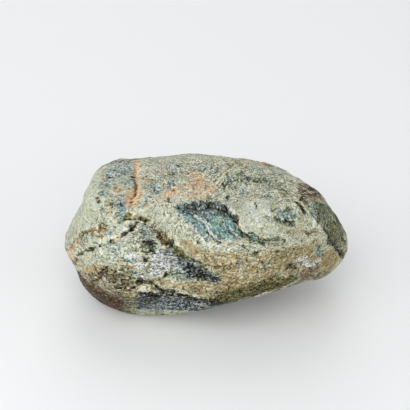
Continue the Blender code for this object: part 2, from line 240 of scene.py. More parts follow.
# A hump is its middle, half sizes, turn in degrees and height: below zero it is a scoop.
SHOW_HUMPS = {
    "hollow_under_body": ((-34, -21), (30, 13), -22, -3.2),
    "lens_floor": ((4, 14), (27, 12), -28, -2.2),
    "left_flank_scoop": ((-107, 21), (15, 16), 50, -3.6),
    "chip_scar": ((-88, 4), (5.0, 6.5), 20, -0.9),
    "olive_pit": ((-48, -8), (6.5, 3.4), -12, -2.4),
    "brown_pit": ((-30, -7), (6.0, 3.6), -30, -2.2),
    "body_belly": ((35, -25), (46, 20), -8, 2.2),
    "pale_lobe": ((55, 12), (22, 15), -20, 1.8),
    "white_lobe": ((-62, -14), (15, 8), -12, 1.6),
    "toe_knob": ((-80, -38), (13, 11), 30, 1.8),
    "crest_swell": ((-22, 46), (30, 12), 8, 1.6),
    "left_swell": ((-84, 38), (17, 17), 30, 1.4),
    "right_dimple": ((86, -2), (12, 9), 20, -1.6),
    "right_low_scoop": ((84, -22), (20, 8), 14, -1.8),
}
BACK_HUMPS = {
    "back_belly": ((-26, -6), (34, 15), 6, 2.6),
    "back_scoop": ((28, 2), (26, 12), -10, -3.6),
    "left_back_lobe": ((84, 6), (18, 22), 0, 2.0),
    "right_back_scoop": ((-74, 0), (20, 17), 24, -3.0),
    "under_ledge_scoop": ((-6, 6), (30, 7), 4, -2.2),
    "crown_lobe": ((30, 44), (26, 10), -6, 1.8),
    "right_back_swell": ((-66, 32), (22, 10), 16, 1.6),
}

# A pit is (u, v, half size, depth).
SHOW_PITS = (
    (-63, 6.5, 2.6, 3.4), (-70, 0.5, 2.9, 3.4), (-79.5, -3.5, 1.4, 1.8), (-97, -11, 1.8, 1.4),
    (-105, -16, 2.2, 1.4), (-46, -14.5, 2.4, 1.8), (-34, -34, 2.8, 1.8), (-57, -41, 3.4, 2.2),
    (82, 32, 2.6, 1.8), (90, 26, 2.0, 1.6), (88, 1, 2.6, 1.8), (68, -5, 2.0, 1.6), (29, 17, 2.2, 1.8),
    (-90, 28.7, 1.6, 0.7), (-31, 31, 1.8, 1.4), (-59, 36, 2.2, 1.8), (18, 44, 2.0, 1.4),
)
BACK_PITS = (
    (-37, 9, 3.0, 2.8), (-33, -18, 2.6, 2.2), (-8, 9, 2.4, 2.2), (16, -33, 2.8, 2.2), (48, -3, 2.4, 2.0),
    (60, 26, 2.4, 1.8), (-70, -20, 2.6, 2.0), (80, -24, 2.2, 1.8), (2, 30, 2.2, 1.6), (-90, 18, 2.0, 1.6),
)

# a ledge's usual wall in mm, and how far its edge stands over it, as a share of its drop
WALL = 2.4
OVERHANG = 0.35
WAVES = 14
# wave length and height of the uneven wear, of the finer wear and of the wandering of the relief
WEAR = ((62.0 * MM, 1.0 * MM), (27.0 * MM, 0.7 * MM), (12.0 * MM, 0.35 * MM))
WEAR_SEED = 130
FINE_WEAR = ((6.0 * MM, 0.16 * MM), (3.4 * MM, 0.09 * MM))
FINE_WEAR_SEED = 71
WAVER = (9.0 * MM, 0.8 * MM)
WAVER_SEED = 41
# the dip of the layers in degrees, and how much longer the waves are along them than across
LAYER_DIP = -9.0
LAYER_STRETCH = 2.2
# the relief fades out over this height above the foot
FOOT_FREE = 16.0 * MM
# rows of faces along the stone, from front to back, and up, about 1 mm apart
ROWS = (176, 120, 96)


def unit(azimuth, elevation):
    """The unit vector at an azimuth and an elevation in degrees."""
    a, e = math.radians(azimuth), math.radians(elevation)
    return np.array([math.cos(a) * math.cos(e), math.sin(a) * math.cos(e), math.sin(e)])


def ease(x):
    """A smooth step from 0 at x = 0 to 1 at x = 1."""
    x = np.clip(x, 0, 1)
    return x * x * (3 - 2 * x)


def flat_planes():
    """The normals of the worn flats and their distances from the middle."""
    normals = np.array([unit(azimuth, elevation) for _, azimuth, elevation, _ in FLATS])
    half_sizes = np.array([LENGTH, DEPTH, HEIGHT]) / 2
    reach = np.linalg.norm(normals * half_sizes, axis=1)
    return normals, reach * np.array([share for *_, share in FLATS])


def worn_body(directions):
    """Points of the rounded polyhedron in each direction from the middle, and their normals."""
    normals, distances = flat_planes()
    facing = np.maximum(directions @ normals.T / distances, 0)
    radius = (facing**EDGE_POWER).sum(axis=1) ** (-1 / EDGE_POWER)
    outward = (facing ** (EDGE_POWER - 1) / distances) @ normals
    outward /= np.linalg.norm(outward, axis=1, keepdims=True)
    return directions * radius[:, None], outward


def ripple(points, wavelength, seed):
    """Seeded waves in every direction, about -1 to 1, longer along the layers than across."""
    rng = np.random.default_rng(seed)
    dip = math.radians(LAYER_DIP)
    along = points @ np.array([math.cos(dip), 0, math.sin(dip)])
    across = points @ np.array([-math.sin(dip), 0, math.cos(dip)])
    laid = np.stack([along / LAYER_STRETCH, points[:, 1] / LAYER_STRETCH, across], axis=1)
    total = np.zeros(len(points))
    for _ in range(WAVES):
        heading = rng.normal(size=3)
        heading /= np.linalg.norm(heading)
        turns = rng.uniform(0.7, 1.4) / wavelength
        phase = rng.uniform(0, 2 * math.pi)
        bend = rng.normal(size=3)
        bend /= np.linalg.norm(bend)
        sway = np.sin(laid @ bend * (2 * math.pi * 0.45 / wavelength) + phase * 1.7)
        total += np.sin(laid @ heading * (2 * math.pi * turns) + phase + 1.1 * sway)
    return total / math.sqrt(WAVES)


class Drawing:
    """Where points of the stone fall on a drawing plane, and how squarely they face it."""

    def __init__(self, face, points, outward):
        self.out = unit(face["azimuth"], face["elevation"])
        level = unit(face["azimuth"], 0)
        self.right = np.array([-level[1], level[0], 0.0])
        self.up = np.cross(self.out, self.right)
        eye = self.up * face["eye_line"] + self.out * face["eye"]
        sight = points - eye
        scale = face["eye"] / -(sight @ self.out)
        u = (sight @ self.right) * scale
        v = (sight @ self.up) * scale + face["eye_line"]
        self.uv = np.stack([u, v], axis=1)
        toward = -sight / np.linalg.norm(sight, axis=1, keepdims=True)
        self.square = np.sum(outward * toward, axis=1)
        self.facing = ease((self.square + 0.05) / 0.3)


def smooth_line(rows, step=1.5):
    """A smooth curve through rows of (u, v, amount) in mm, as rows in metres."""
    rows = np.array(rows, dtype=float)
    rows = np.vstack([2 * rows[0] - rows[1], rows, 2 * rows[-1] - rows[-2]])
    curve = []
    for a, b, c, d in zip(rows, rows[1:], rows[2:], rows[3:]):
        count = max(2, int(np.linalg.norm((c - b)[:2]) / step))
        for t in np.arange(count) / count:
            bend = 2 * b + (c - a) * t + (2 * a - 5 * b + 4 * c - d) * t**2
            curve.append((bend + (3 * b - a - 3 * c + d) * t**3) / 2)
    curve.append(rows[-2])
    curve = np.array(curve)
    curve[:, 2] = np.maximum(curve[:, 2], 0)
    return curve * MM


def from_line(uv, curve, limit):
    """For each point: the signed distance off a curve, above zero on its right, the amount that
    the curve holds nearby, and the direction to its right. The amount dies out past the ends."""
    distance = np.full(len(uv), np.inf)
    amount = np.zeros(len(uv))
    side = np.zeros((len(uv), 2))
    low, high = curve[:, :2].min(axis=0) - limit, curve[:, :2].max(axis=0) + limit
    near = np.flatnonzero(np.all((uv > low) & (uv < high), axis=1))
    if len(near) == 0:
        return distance, amount, side
    start, run = curve[:-1, :2], np.diff(curve[:, :2], axis=0)
    length = np.linalg.norm(run, axis=1)
    off = uv[near][:, None, :] - start
    t = np.clip(np.einsum("nki,ki->nk", off, run) / length**2, 0, 1)
    off -= t[:, :, None] * run
    far = np.linalg.norm(off, axis=2)
    best = far.argmin(axis=1)
    nearest = np.arange(len(near)), best
    right = np.stack([run[:, 1], -run[:, 0]], axis=1) / length[:, None]
    held = curve[:-1, 2] + t * np.diff(curve[:, 2])
    share = np.exp((far[nearest][:, None] - far) / (1 * MM + 0.35 * far[nearest][:, None]))
    beyond = np.abs(np.einsum("ni,ni->n", off[nearest], run[best] / length[best][:, None]))
    beyond *= (best == 0) & (t[nearest] == 0) | (best == len(run) - 1) & (t[nearest] == 1)
    side_of = np.where(np.einsum("ni,ni->n", off[nearest], right[best]) >= 0, 1, -1)
    distance[near] = far[nearest] * side_of
    amount[near] = (share * held).sum(axis=1) / share.sum(axis=1)
    amount[near] *= np.exp(-((beyond / (9 * MM)) ** 2))
    side[near] = right[best]
    return distance, amount, side


def ledge(drawing, row, waver):
    """The drop on the low side of a ledge and the push that makes its edge stand over its wall."""
    reach = row["reach"] * MM
    wall = row.get("wall", WALL) * MM
    distance, drop, side = from_line(drawing.uv, smooth_line(row["line"]), 2.5 * reach)
    distance = distance + waver * np.clip(drop / (4 * MM), 0, 1)
    fall = ease(distance / wall) * np.exp(-((np.maximum(distance, 0) / reach) ** 2))
    rolled = 0.18 * np.exp(np.minimum(distance, 0) / (3 * MM)) * (1 - ease(distance / wall))
    height = -drop * (fall + rolled) * drawing.facing
    edge = np.exp(np.minimum(distance, 0) / (4 * MM)) * (1 - ease(distance / wall))
    push = (row.get("overhang", OVERHANG) * drop * edge * drawing.facing)[:, None]
    return height, push * (side[:, :1] * drawing.right + side[:, 1:] * drawing.up)


def crack(drawing, line, width, waver):
    """The depth of a V-shaped crack along a line."""
    distance, depth, _ = from_line(drawing.uv, smooth_line(line), 4 * width * MM)
    distance = distance + waver
    return -depth * np.exp(-((distance / (0.6 * width * MM)) ** 2)) * drawing.facing


def turned(uv, middle, half_sizes, turn):
    """How far points lie along and across a turned oval, counted in its half sizes."""
    t = math.radians(turn)
    off = uv - np.array(middle) * MM
    along = (off[:, 0] * math.cos(t) + off[:, 1] * math.sin(t)) / (half_sizes[0] * MM)
    across = (off[:, 1] * math.cos(t) - off[:, 0] * math.sin(t)) / (half_sizes[1] * MM)
    return along, across


def hump(drawing, middle, half_sizes, turn, height):
    """The height of a lump, or of a scoop if it is below zero."""
    along, across = turned(drawing.uv, middle, half_sizes, turn)
    return height * MM * np.exp(-((along**2 + across**2) ** 1.25)) * drawing.facing


def pit(drawing, u, v, half_size, depth, waver):
    """The depth of a small steep pit."""
    off = np.linalg.norm(drawing.uv - np.array([u, v]) * MM, axis=1) + waver
    return -depth * MM * (1 - ease((off / (half_size * MM) - 0.35) / 0.9)) * drawing.facing


def weathered(points, outward):
    """The worn body with all of its relief, lying on its foot."""
    lift = np.zeros(len(points))
    for n, (wavelength, height) in enumerate(WEAR):
        lift += height * ripple(points, wavelength, WEAR_SEED + n)
    for n, (wavelength, height) in enumerate(FINE_WEAR):
        lift += height * ripple(points, wavelength, FINE_WEAR_SEED + n)
    for place, radius, height in DENTS.values():
        off = np.linalg.norm(points - np.array(place) * MM, axis=1) / (radius * MM)
        lift += height * MM * np.exp(-(off**2))
    waver = WAVER[1] * ripple(points, WAVER[0], WAVER_SEED)
    push = np.zeros_like(points)
    sides = (
        (SHOW_FACE, SHOW_LEDGES, SHOW_CRACKS, SHOW_HUMPS, SHOW_PITS),
        (BACK_FACE, BACK_LEDGES, BACK_CRACKS, BACK_HUMPS, BACK_PITS),
    )
    for face, ledges, cracks, humps, pits in sides:
        drawing = Drawing(face, points, outward)
        for row in ledges.values():
            height, across = ledge(drawing, row, waver)
            lift += height
            push += across
        for row in cracks.values():
            lift += crack(drawing, row["line"], row["width"], waver)
        for middle, half_sizes, turn, height in humps.values():
            lift += hump(drawing, middle, half_sizes, turn, height)
        for u, v, half_size, depth in pits:
            lift += pit(drawing, u, v, half_size, depth, waver)
    free = ease((points[:, 2] + LIE_HEIGHT) / FOOT_FREE)[:, None]
    worn = points + free * (outward * lift[:, None] + push)
    worn[:, 2] = np.maximum(worn[:, 2] + LIE_HEIGHT, 0)
    return worn


def box_rows(rows):
    """Directions spread over the sides of a box, with a count of rows each way, and its faces."""
    spreads = [np.tan(np.linspace(-1, 1, count + 1) * math.pi / 4) for count in rows]
    places = []
    faces = []
    numbers = {}
    for axis in range(3):
        first, second = (axis + 1) % 3, (axis + 2) % 3
        for sign in (-1, 1):
            grid = np.empty((rows[first] + 1, rows[second] + 1), dtype=int)
            for i, a in enumerate(spreads[first]):
                for j, b in enumerate(spreads[second]):
                    place = [0.0, 0.0, 0.0]
                    place[axis], place[first], place[second] = sign, a, b
                    key = (round(place[0], 7), round(place[1], 7), round(place[2], 7))
                    if key not in numbers:
                        numbers[key] = len(places)
                        places.append(place)
                    grid[i, j] = numbers[key]
            quads = np.stack([grid[:-1, :-1], grid[1:, :-1], grid[1:, 1:], grid[:-1, 1:]], axis=-1)
            quads = quads.reshape(-1, 4)
            faces.append(quads if sign > 0 else quads[:, ::-1])
    return np.array(places), np.vstack(faces)


# ---------------------------------------------------------------- the rind's patches

# Each finish of the rind is laid on as shapes on the show face's drawing plane, in mm: areas are
# closed outlines, spots are (u, v, half length, half width, turn) and bands are lines with a half
# width. Each ends in its strength, from 0 to 1.
SHOW_PATCHES = {
    "pale": {
        "areas": (
            (((-110, 6), (-104, 26), (-97, 48), (-88, 56), (-89, 42), (-92, 26), (-94, 12),
              (-103, 4)), 0.8),
            (((28, 30), (60, 30), (78, 22), (80, 8), (66, 0), (52, 1), (41, 5), (35, 12), (29, 22)), 0.95),
            (((-44, 24), (-28, 22), (-21, 14), (-12, 7), (-8, 0), (3, -4), (14, -6), (30, -4), (34, -10),
              (10, -14), (-8, -8), (-24, 0), (-38, 10)), 0.7),
            (((-100, -12), (-88, -11), (-76, -6), (-58, -3), (-56, -12), (-50, -17), (-66, -18), (-82, -21),
              (-98, -22)), 0.85),
            (((-55, 60), (-46, 60), (-47, 50), (-52, 40), (-53, 30), (-46, 18), (-58, 18), (-60, 28)), 0.6),
            (((-84, 14), (-70, 12), (-68, 4), (-76, 0), (-84, 2)), 0.6),
            (((2, -6), (40, -7), (66, -8), (70, -13), (36, -14), (6, -16)), 0.55),
            (((70, -31), (80, -30), (82, -37), (71, -39)), 0.7),
        ),
        "spots": (
            (-87, 20, 6, 9, 0, 0.6), (14, 35, 12, 4, -15, 0.6), (24, 42, 6, 4, 0, 0.6),
            (90, 14, 5, 6, 0, 0.4), (-97, -24, 8, 4, 20, 0.5), (-46, -35, 9, 3, -8, 0.7),
            (61, -33, 5, 3, 0, 0.6), (30, -32, 4, 5, 0, 0.5),
        ),
        "bands": (
            (((-66, -68), (-45, -69), (-25, -67.5), (-3, -65), (15, -61.5)), 1.2, 0.9),
            (((43, -41), (46, -36), (51, -31)), 1.4, 0.9), (((-67, 14), (-68, 19), (-66, 24)), 1.0, 0.7),
            (((60, 14), (67, 12), (75, 8)), 1.0, 0.6), (((-48, -46), (-36, -49), (-26, -49.5)), 0.7, 0.6),
        ),
    },
    "white": {
        "areas": (
            (((-46, -17), (-38, -13), (-30, -13), (-22, -18), (-20, -26), (-30, -30), (-38, -36),
              (-46, -35), (-47, -26)), 0.9),
            (((78, -21), (88, -18.5), (99, -20), (98, -25), (88, -27), (78, -27)), 0.8),
            (((-46, -54), (-20, -53), (6, -57), (-4, -61), (-26, -63), (-46, -62)), 0.24),
            (((30, 27), (44, 30), (56, 28), (58, 16), (50, 8), (40, 9), (33, 16)), 0.36),
            (((-14, 24), (2, 25), (16, 22), (10, 16), (-6, 17)), 0.2),
        ),
        "spots": (
            (-60, -17.5, 9, 1.8, -5, 0.8), (-55, -34.5, 6, 2, -14, 0.9), (-54, -26, 5, 2.4, 0, 0.7),
            (-71, 3.5, 3.4, 2.4, 40, 1.0), (-68, -1, 2, 3, 40, 0.8), (-79, -1.5, 2.4, 1.2, 20, 0.9),
            (-88, -14, 3, 3, -40, 0.6), (9.5, 22.5, 1.3, 1.1, 0, 1.0), (-4, 24, 0.9, 2, 0, 0.8),
            (5, 24, 0.7, 2.4, -20, 0.5), (16, 20, 0.8, 2, 30, 0.5), (93, -22.5, 4, 2, 10, 1.0),
        ),
        "bands": (
            (((22, -56.4), (30, -54.8), (40, -52.8)), 1.3, 1.0),
            (((43, -52), (49, -50.4), (59, -48.2)), 1.4, 1.0),
            (((61, -47.6), (67, -45.8), (75, -42.9)), 1.6, 1.0),
            (((77, -42), (84, -40), (91, -38.6)), 1.2, 0.9), (((-92, -9), (-88, -7)), 0.6, 0.8),
            (((-7, 19), (-3, 16), (0, 12.5), (3, 8), (6, 4), (10, 0), (14, -4)), 1.4, 0.6),
            (((20, 8), (23, 4.5), (26, 1), (28, -2)), 1.0, 0.6),
            (((-21, 17), (-15, 11), (-10, 6), (-5, 0)), 1.3, 0.5), (((6, 16), (9, 11), (13, 7)), 0.7, 0.5),
        ),
    },
    "teal": {
        "areas": (
            (((-27, 25), (-18, 27), (0, 28), (17, 27), (24, 18), (28, 9), (30, 1), (28, -4), (16, -4),
              (9, -2), (3, 4), (-6, 9), (-14, 12), (-23, 19)), 1.0),
        ),
        "spots": ((40.5, -1, 3, 2.2, -30, 0.8), (48, -5.5, 5, 1.4, 0, 0.5), (54, -18, 5, 2, 0, 0.4)),
        "bands": (),
    },
    "blue": {
        "areas": (
            (((-9, 10.5), (-3, 11.5), (1, 7), (4, 2), (6, -3), (1, -4.5), (-3, -1), (-7, 5)), 0.85),
            (((-76, 29), (-67, 30), (-66, 22), (-69, 14), (-72, 10), (-75, 16)), 0.85),
            (((87, 27), (97, 28), (103, 21), (103, 10), (98, 8), (91, 16)), 0.85),
            (((-85, 57), (-76, 61), (-64, 61), (-62, 52), (-68, 50), (-76, 48), (-84, 47)), 0.75),
        ),
        "spots": (
            (-86, 35.5, 5, 3, 0, 0.85), (-82, 44, 4, 4, 0, 0.7), (-67, 45, 5, 3, 0, 0.5),
            (-69, 33, 4, 3, 0, 0.5), (-40, 38, 6, 5, 0, 0.85), (-44, 45, 5, 4, 0, 0.6),
            (-30, 42, 4, 5, 0, 0.7), (-50, 32, 3.4, 4, 0, 0.6), (-17, 37, 4, 4, 0, 0.8),
            (-13, 45, 4, 4, 0, 0.8), (-1, 57, 8, 4, -5, 0.5), (10, 57, 6, 4, -5, 0.6),
            (-26, 58, 9, 4, 0, 0.5), (33, 37, 4, 4, 0, 0.8), (53, 33, 7, 2.2, 10, 0.8),
            (44, 57, 10, 3, -12, 0.5), (64, 52, 10, 3, -22, 0.6), (56, 42, 5, 3, 0, 0.6),
            (22, 47, 5, 4, 0, 0.6), (68, 18.6, 7.0, 5.6, -5, 1.0), (74, 18, 3, 4, 0, 0.9),
            (-77, -10, 6, 4, 0, 0.7), (-62, -21, 7.5, 2.2, -10, 1.0), (-57, -31, 7, 2.4, -16, 0.9),
            (-51, 4, 7, 6, -30, 0.75), (-89, 22, 6, 1.4, 10, 0.5), (97, -13, 4, 4, 0, 0.8),
            (82, -23, 4, 3, 0, 0.5), (52, -26, 7, 2.4, 8, 0.5), (30, -22, 3, 3, 0, 0.5),
            (-34, -22, 4.5, 3.4, 0, 0.95), (-24, -25.5, 4, 3, 0, 0.8), (-28, -31, 11, 3, 4, 0.9),
            (-82, 1.5, 3, 2.6, 0, 0.7), (-97, -4, 3, 2, 0, 0.5), (-89, -17, 2, 4, 0, 0.5),
        ),
        "bands": ((((-53, -62), (-42, -62.5), (-28, -61.5)), 2.6, 0.85),),
    },
    "green": {
        "areas": (
            (((25, 6), (30, 9), (33, 4.5), (36, 1.5), (34, -2), (29, -1), (26, 2)), 1.0),
            (((88, 31), (104, 27), (114, 15), (119, 0), (114, -10), (103, 1), (96, 12)), 0.6),
            (((24, 52), (34, 54), (39, 49), (36, 43), (26, 44)), 0.55),
            (((26, 9), (30, 3), (38, 0.5), (50, -2), (62, -4), (58, -7), (44, -6), (34, -4), (27, 0)), 0.6),
            (((34, -18), (52, -18), (64, -24), (54, -29), (44, -24), (36, -25)), 0.2),
            (((-90, -30), (-74, -27), (-58, -29), (-52, -42), (-64, -49), (-84, -46)), 0.26),
        ),
        "spots": (
            (39, 1, 4.5, 3.4, -30, 0.85), (44, -13.5, 5, 2, 15, 0.8), (42, -17, 4, 1.6, 0, 0.7),
            (58, -14.5, 4, 1.4, 10, 0.5), (72, 22, 3, 3, 0, 0.7), (69, 11, 7, 1.8, -20, 0.9),
            (-78, 5, 3, 3, 0, 0.5), (-47, -8, 8, 3.4, 0, 0.9), (-33, -33.5, 5.5, 3, -15, 0.9),
            (-72, -30, 8, 4, 0, 0.5), (-76, -38, 6, 4, 0, 0.6), (-108, -32, 3, 3, 0, 0.8),
            (56, 25, 4, 4, 0, 0.35), (3, 33, 3, 2.4, 0, 0.6), (48, 47, 9, 4, -14, 0.6),
            (62, 41, 8, 4, -20, 0.5), (20, 43, 6, 4, 0, 0.4), (74, 30, 5, 4, -30, 0.5),
        ),
        "bands": (
            (((45, -3.4), (52, -4.4), (62, -4.6)), 2.4, 1.0),
            (((61, 24), (59, 18), (61, 12), (67, 10.5), (74, 12)), 1.3, 0.8),
            (((-26, -14), (-14, -22), (-2, -28), (8, -34)), 3.6, 0.8),
        ),
    },
    "ochre": {
        "areas": (
            (((-36, 8), (-22, -6), (0, -12), (30, -16), (62, -10), (92, -3), (101, -9), (107, -24),
              (82, -37), (52, -46), (20, -52), (-6, -51), (-22, -46), (-12, -42), (6, -41), (13, -35),
              (5, -27), (-8, -20), (-18, -12), (-28, -1)), 0.66),
            (((14, -26), (24, -22), (30, -34), (24, -46), (14, -44), (12, -34)), 0.85),
            (((34, -25), (44, -26), (43, -38), (34, -40)), 0.8),
            (((101, -10), (109, -12), (114, -20), (109, -29), (101, -30), (99, -22)), 0.8),
            (((-110, -18), (-96, -24), (-80, -25), (-62, -29), (-56, -40), (-60, -50), (-62, -62),
              (-84, -64), (-104, -50), (-114, -32)), 0.42),
        ),
        "spots": (
            (-12, -9, 11, 4, -6, 0.85), (-87.5, 6, 4.4, 6, 10, 1.0), (-94, -29, 10, 5, 10, 0.9),
            (-14, -45, 9, 3, -4, 1.0), (2, -18, 5, 6, 0, 0.7), (78, 2, 18, 3, 0, 0.5),
            (-66, -50, 12, 5, 0, 0.6), (-94, 34, 3, 5, 10, 0.6), (-80, 27, 4, 2, 10, 0.7),
            (-82, 20, 3, 4, 0, 0.6), (68, 37, 7, 3, -20, 0.5), (-103, 18, 4, 5, 0, 0.5),
            (16, 53, 4, 3, 0, 0.6), (30, 60, 14, 2, -10, 0.5), (5, 39, 3, 2, 0, 0.8),
            (-66, -44, 3, 4, 0, 0.7), (64, -9, 8, 2, 0, 0.5), (92, -6, 6, 3, 0, 0.7),
        ),
        "bands": (
            (((-117, -13), (-110, -4.5), (-104, 0.5), (-97, 3), (-91, 3.5)), 1.6, 0.95),
            (((-100, -1), (-95, -0.5), (-89, -1.5)), 1.1, 0.8),
            (((-76, -25), (-62, -27), (-50, -27)), 1.6, 0.7), (((-80, -4.5), (-73, -4.5)), 1.0, 0.9),
            (((-45, -39), (-22, -42), (0, -43)), 2.4, 0.7),
        ),
    },
    "rust": {
        "areas": (
            (((-67, 40), (-60, 43), (-56, 38), (-57, 30), (-62, 23), (-66, 25), (-67, 33)), 0.9),
            (((-36, 30), (-32, 38), (-20, 44), (-12, 53), (-2, 55), (3, 46), (10, 40), (6, 34), (-6, 31),
              (-20, 31)), 0.42),
        ),
        "spots": (
            (-76, 38, 4.5, 2.6, -10, 0.85), (-48, 47.5, 3.6, 3, 0, 0.75), (-36, 53, 4, 2.6, 0, 0.5),
            (-5.5, 46, 3, 7.5, -8, 0.9), (2, 38.5, 4.6, 2.2, 0, 1.0), (-15, 42.5, 3.4, 3, 0, 0.8),
            (-31, 35, 3.6, 4, 0, 0.95), (-25, 38.5, 3, 4, -20, 0.95), (-14, 32.5, 3, 2.2, 0, 0.7),
            (-9, 35, 3, 4.5, 0, 0.7), (-115, -14, 2.4, 5, -20, 0.9), (-110, -5.5, 3.6, 2, 20, 0.9),
            (-70, -0.5, 4, 2.4, 40, 0.95), (-112, -20, 3.4, 3, -40, 0.7), (-12, -46.5, 9, 1.6, -6, 0.22),
            (18, -33, 3, 5, 0, 0.22), (39, -31, 3, 5, 0, 0.22), (62, -28, 7, 2.4, 8, 0.22),
            (63, -1, 4, 2, 0, 0.5), (82, 33, 5, 3, 0, 0.3), (80, -38, 10, 1.4, 16, 0.22),
        ),
        "bands": (
            (((-59, 62), (-58, 54), (-57, 47), (-56.5, 41), (-58, 34)), 2.2, 1.0),
        ),
    },
    "moss": {
        "areas": (
            (((-88, -30), (-72, -26), (-56, -30), (-54, -44), (-66, -48), (-80, -46), (-88, -40)), 0.36),
        ),
        "spots": (
            (-64, 17, 4.4, 3.4, -10, 0.95), (-67, -63.5, 11, 2.2, -10, 0.7), (-98, -11, 4, 2, 25, 1.0),
            (-104.5, -15, 3.6, 2.2, 10, 0.95), (-92, 32, 2, 2, 0, 0.7), (-79, 27, 2, 1, 0, 0.7),
            (-28, 19, 3, 3, 0, 0.4), (58, 24, 5, 4, 0, 0.35), (110, 4, 5, 12, -10, 0.5),
            (-46, -42, 6, 3, 0, 0.6), (78, -12, 10, 3, 0, 0.35),
        ),
        "bands": (
            (((14, -53), (34, -48.5), (52, -44.5), (72, -38)), 6.0, 1.0),
            (((-68, 15), (-58, 15.5), (-48, 12.5)), 2.6, 0.75),
            (((-42, 8), (-36, 0), (-26, -10), (-14, -20), (0, -29)), 2.6, 0.5),
        ),
    },
    "brown": {
        "areas": (
            (((-108, -35), (-99, -37), (-93, -42), (-87, -43), (-82, -48), (-74, -51), (-68, -54),
              (-72, -61), (-82, -61), (-95, -56), (-106, -44)), 0.6),
            (((78, 44), (92, 46), (101, 37), (97, 30), (86, 28), (78, 34)), 0.6),
            (((26, -46), (44, -42.5), (60, -38), (74, -36), (72, -42), (54, -46.5), (34, -51),
              (20, -52)), 0.85),
            (((78, -31), (92, -28), (106, -29), (110, -34), (96, -40), (80, -42)), 0.5),
        ),
        "spots": (
            (-110, -22, 4, 5, -30, 0.7), (-99, -34, 6, 3, 0, 0.6), (-86, -33, 7, 3, 40, 0.7),
            (-78, -33, 10, 5, 0, 0.7), (-68, -42, 8, 7, 0, 0.7), (-92, -34, 8, 5, 0, 0.6),
            (91, 3, 6.5, 2.4, 0, 0.5), (-31, -6.5, 6, 4.4, -35, 0.85), (-36, -1, 2.6, 4, 0, 0.7),
            (-31, 28.4, 3, 1.3, 0, 1.0), (88, 10, 3, 4, 0, 0.5), (-91.6, 7, 0.9, 5, 0, 0.8),
            (-87, 5.4, 3.4, 0.8, 0, 0.8), (-86, 9, 3, 0.8, 20, 0.7), (110, -11, 5, 7, -40, 0.4),
            (98, -31, 6, 2, 24, 0.7), (90, -30, 5, 2, 20, 0.6), (74, -27, 3, 2, 0, 0.5),
        ),
        "bands": (
            (((-107, -39), (-101, -46), (-92, -52), (-82, -57), (-76, -59)), 8.0, 1.0),
            (((-57, 50), (-56, 45), (-57, 41)), 1.0, 0.85), (((-65, 37), (-61, 35), (-58, 33)), 0.6, 0.9),
            (((-62, 41.5), (-58, 38)), 0.8, 0.8), (((-7, 28.2), (0, 28), (7, 27.6), (13, 27.4)), 1.4, 1.0),
            (((-95, -41), (-91, -36), (-87, -30.5), (-82, -26.5)), 1.6, 0.95),
            (((-42, 4), (-38, -2), (-35, -6)), 2.4, 0.9),
            (((-24, -12), (-15, -19), (-6, -26), (6, -33)), 2.8, 0.75),
            (((-50, -42), (-40, -45), (-28, -48)), 1.6, 0.7), (((-100, -0.5), (-92, 0)), 0.6, 0.8),
            (((-56, 15), (-50, 14), (-42, 8)), 1.2, 0.6),
        ),
    },
    "charcoal": {
        "areas": (
            (((-58, -50), (-46, -48.5), (-25, -51), (-6, -54.5), (18, -57), (30, -56), (20, -59.5),
              (0, -63), (-25, -64), (-46, -64.5), (-58, -62)), 1.0),
            # the next three areas are painted shade: the dark wall under the lens's overhanging top edge,
            # the shadow below it, and the shadow on the lens's right wall
            (((-27, 25), (-22, 27), (-8, 27.5), (-3, 29), (8, 29), (17, 27.5), (22, 21), (17, 18), (8, 19),
              (3, 18), (-2, 19), (-12, 22), (-19, 21)), 0.7),
            (((-20, 24), (-10, 24.5), (0, 24), (12, 22), (18, 15), (12, 13), (4, 16), (-4, 16), (-12, 18),
              (-20, 18)), 0.6),
            (((13, 23), (20, 22), (26, 17), (29, 10), (29, 6), (26, 7), (22, 13), (15, 17)), 0.7),
            # painted shade: the shadow that the main body's lower edge casts into the hollow below it
            (((-24, -22), (-14, -20), (-4, -27), (6, -32), (13, -38), (9, -41), (-6, -38),
              (-20, -33)), 1.0),
        ),
        "spots": (
            (-90, 28.7, 2.6, 1.8, -30, 0.9), (-70, 27, 2.6, 1.6, 0, 0.8), (-72, 15, 2, 3, 0, 0.6),
            (101, 16, 4, 5, 30, 0.35), (47, 46.5, 7, 2.6, -14, 0.5), (35, 49, 3.4, 3, 0, 0.7),
            (-46, 3, 4, 4, 0, 0.4), (-30, -30, 8, 1.6, 0, 0.6), (-18, -31, 5, 2.6, 0, 0.8),
        ),
        "bands": ((((-74, 11), (-70, 9)), 0.8, 0.5),),
    },
    "dark": {
        "areas": (
            (((101, 4), (104.5, -4), (110, -11), (116, -20), (119, -14), (112, -8), (107, 0)), 0.8),
            (((-56, -49.5), (-44, -49), (-37, -51), (-38, -57), (-50, -58), (-57, -55)), 0.5),
            (((-74, -54), (-62, -50), (-52, -52), (-50, -60), (-60, -63), (-74, -62)), 0.45),
            # painted shade under the lens's top edge
            (((-24, 26), (-8, 27.5), (8, 28.5), (18, 26), (24, 18), (18, 18), (8, 22), (-4, 22),
              (-16, 23)), 0.42),
        ),
        "spots": (
            (-48, -7, 5.6, 2.0, -4, 0.6), (-29, -6.5, 3.4, 3.6, -35, 1.0), (-54, -39, 5.0, 3.4, -20, 0.85),
            (-76, -40.5, 4, 1.8, 20, 0.95), (-73, -43.5, 4.4, 1.6, 10, 0.85), (-70, -36, 5, 1.2, 0, 0.8),
            (-60, -46, 5, 1.8, 30, 0.85), (-2, -34, 7, 2.6, -30, 0.8), (-13, -28, 4, 2.4, -30, 0.6),
            (-66, -36, 3, 1.4, 0, 0.7), (-84, -37, 4, 1.2, 0, 0.6), (-99, -41, 6, 3, -40, 0.45),
            (-106, -31, 4, 3, -50, 0.4), (-86, -55, 7, 3, -20, 0.45), (-72, -41, 7, 4, 10, 0.35),
            (-74, -50, 6, 1.4, -10, 0.5), (-88, -50, 8, 3, -30, 0.5), (-58, -61, 4.4, 1.6, 0, 0.5),
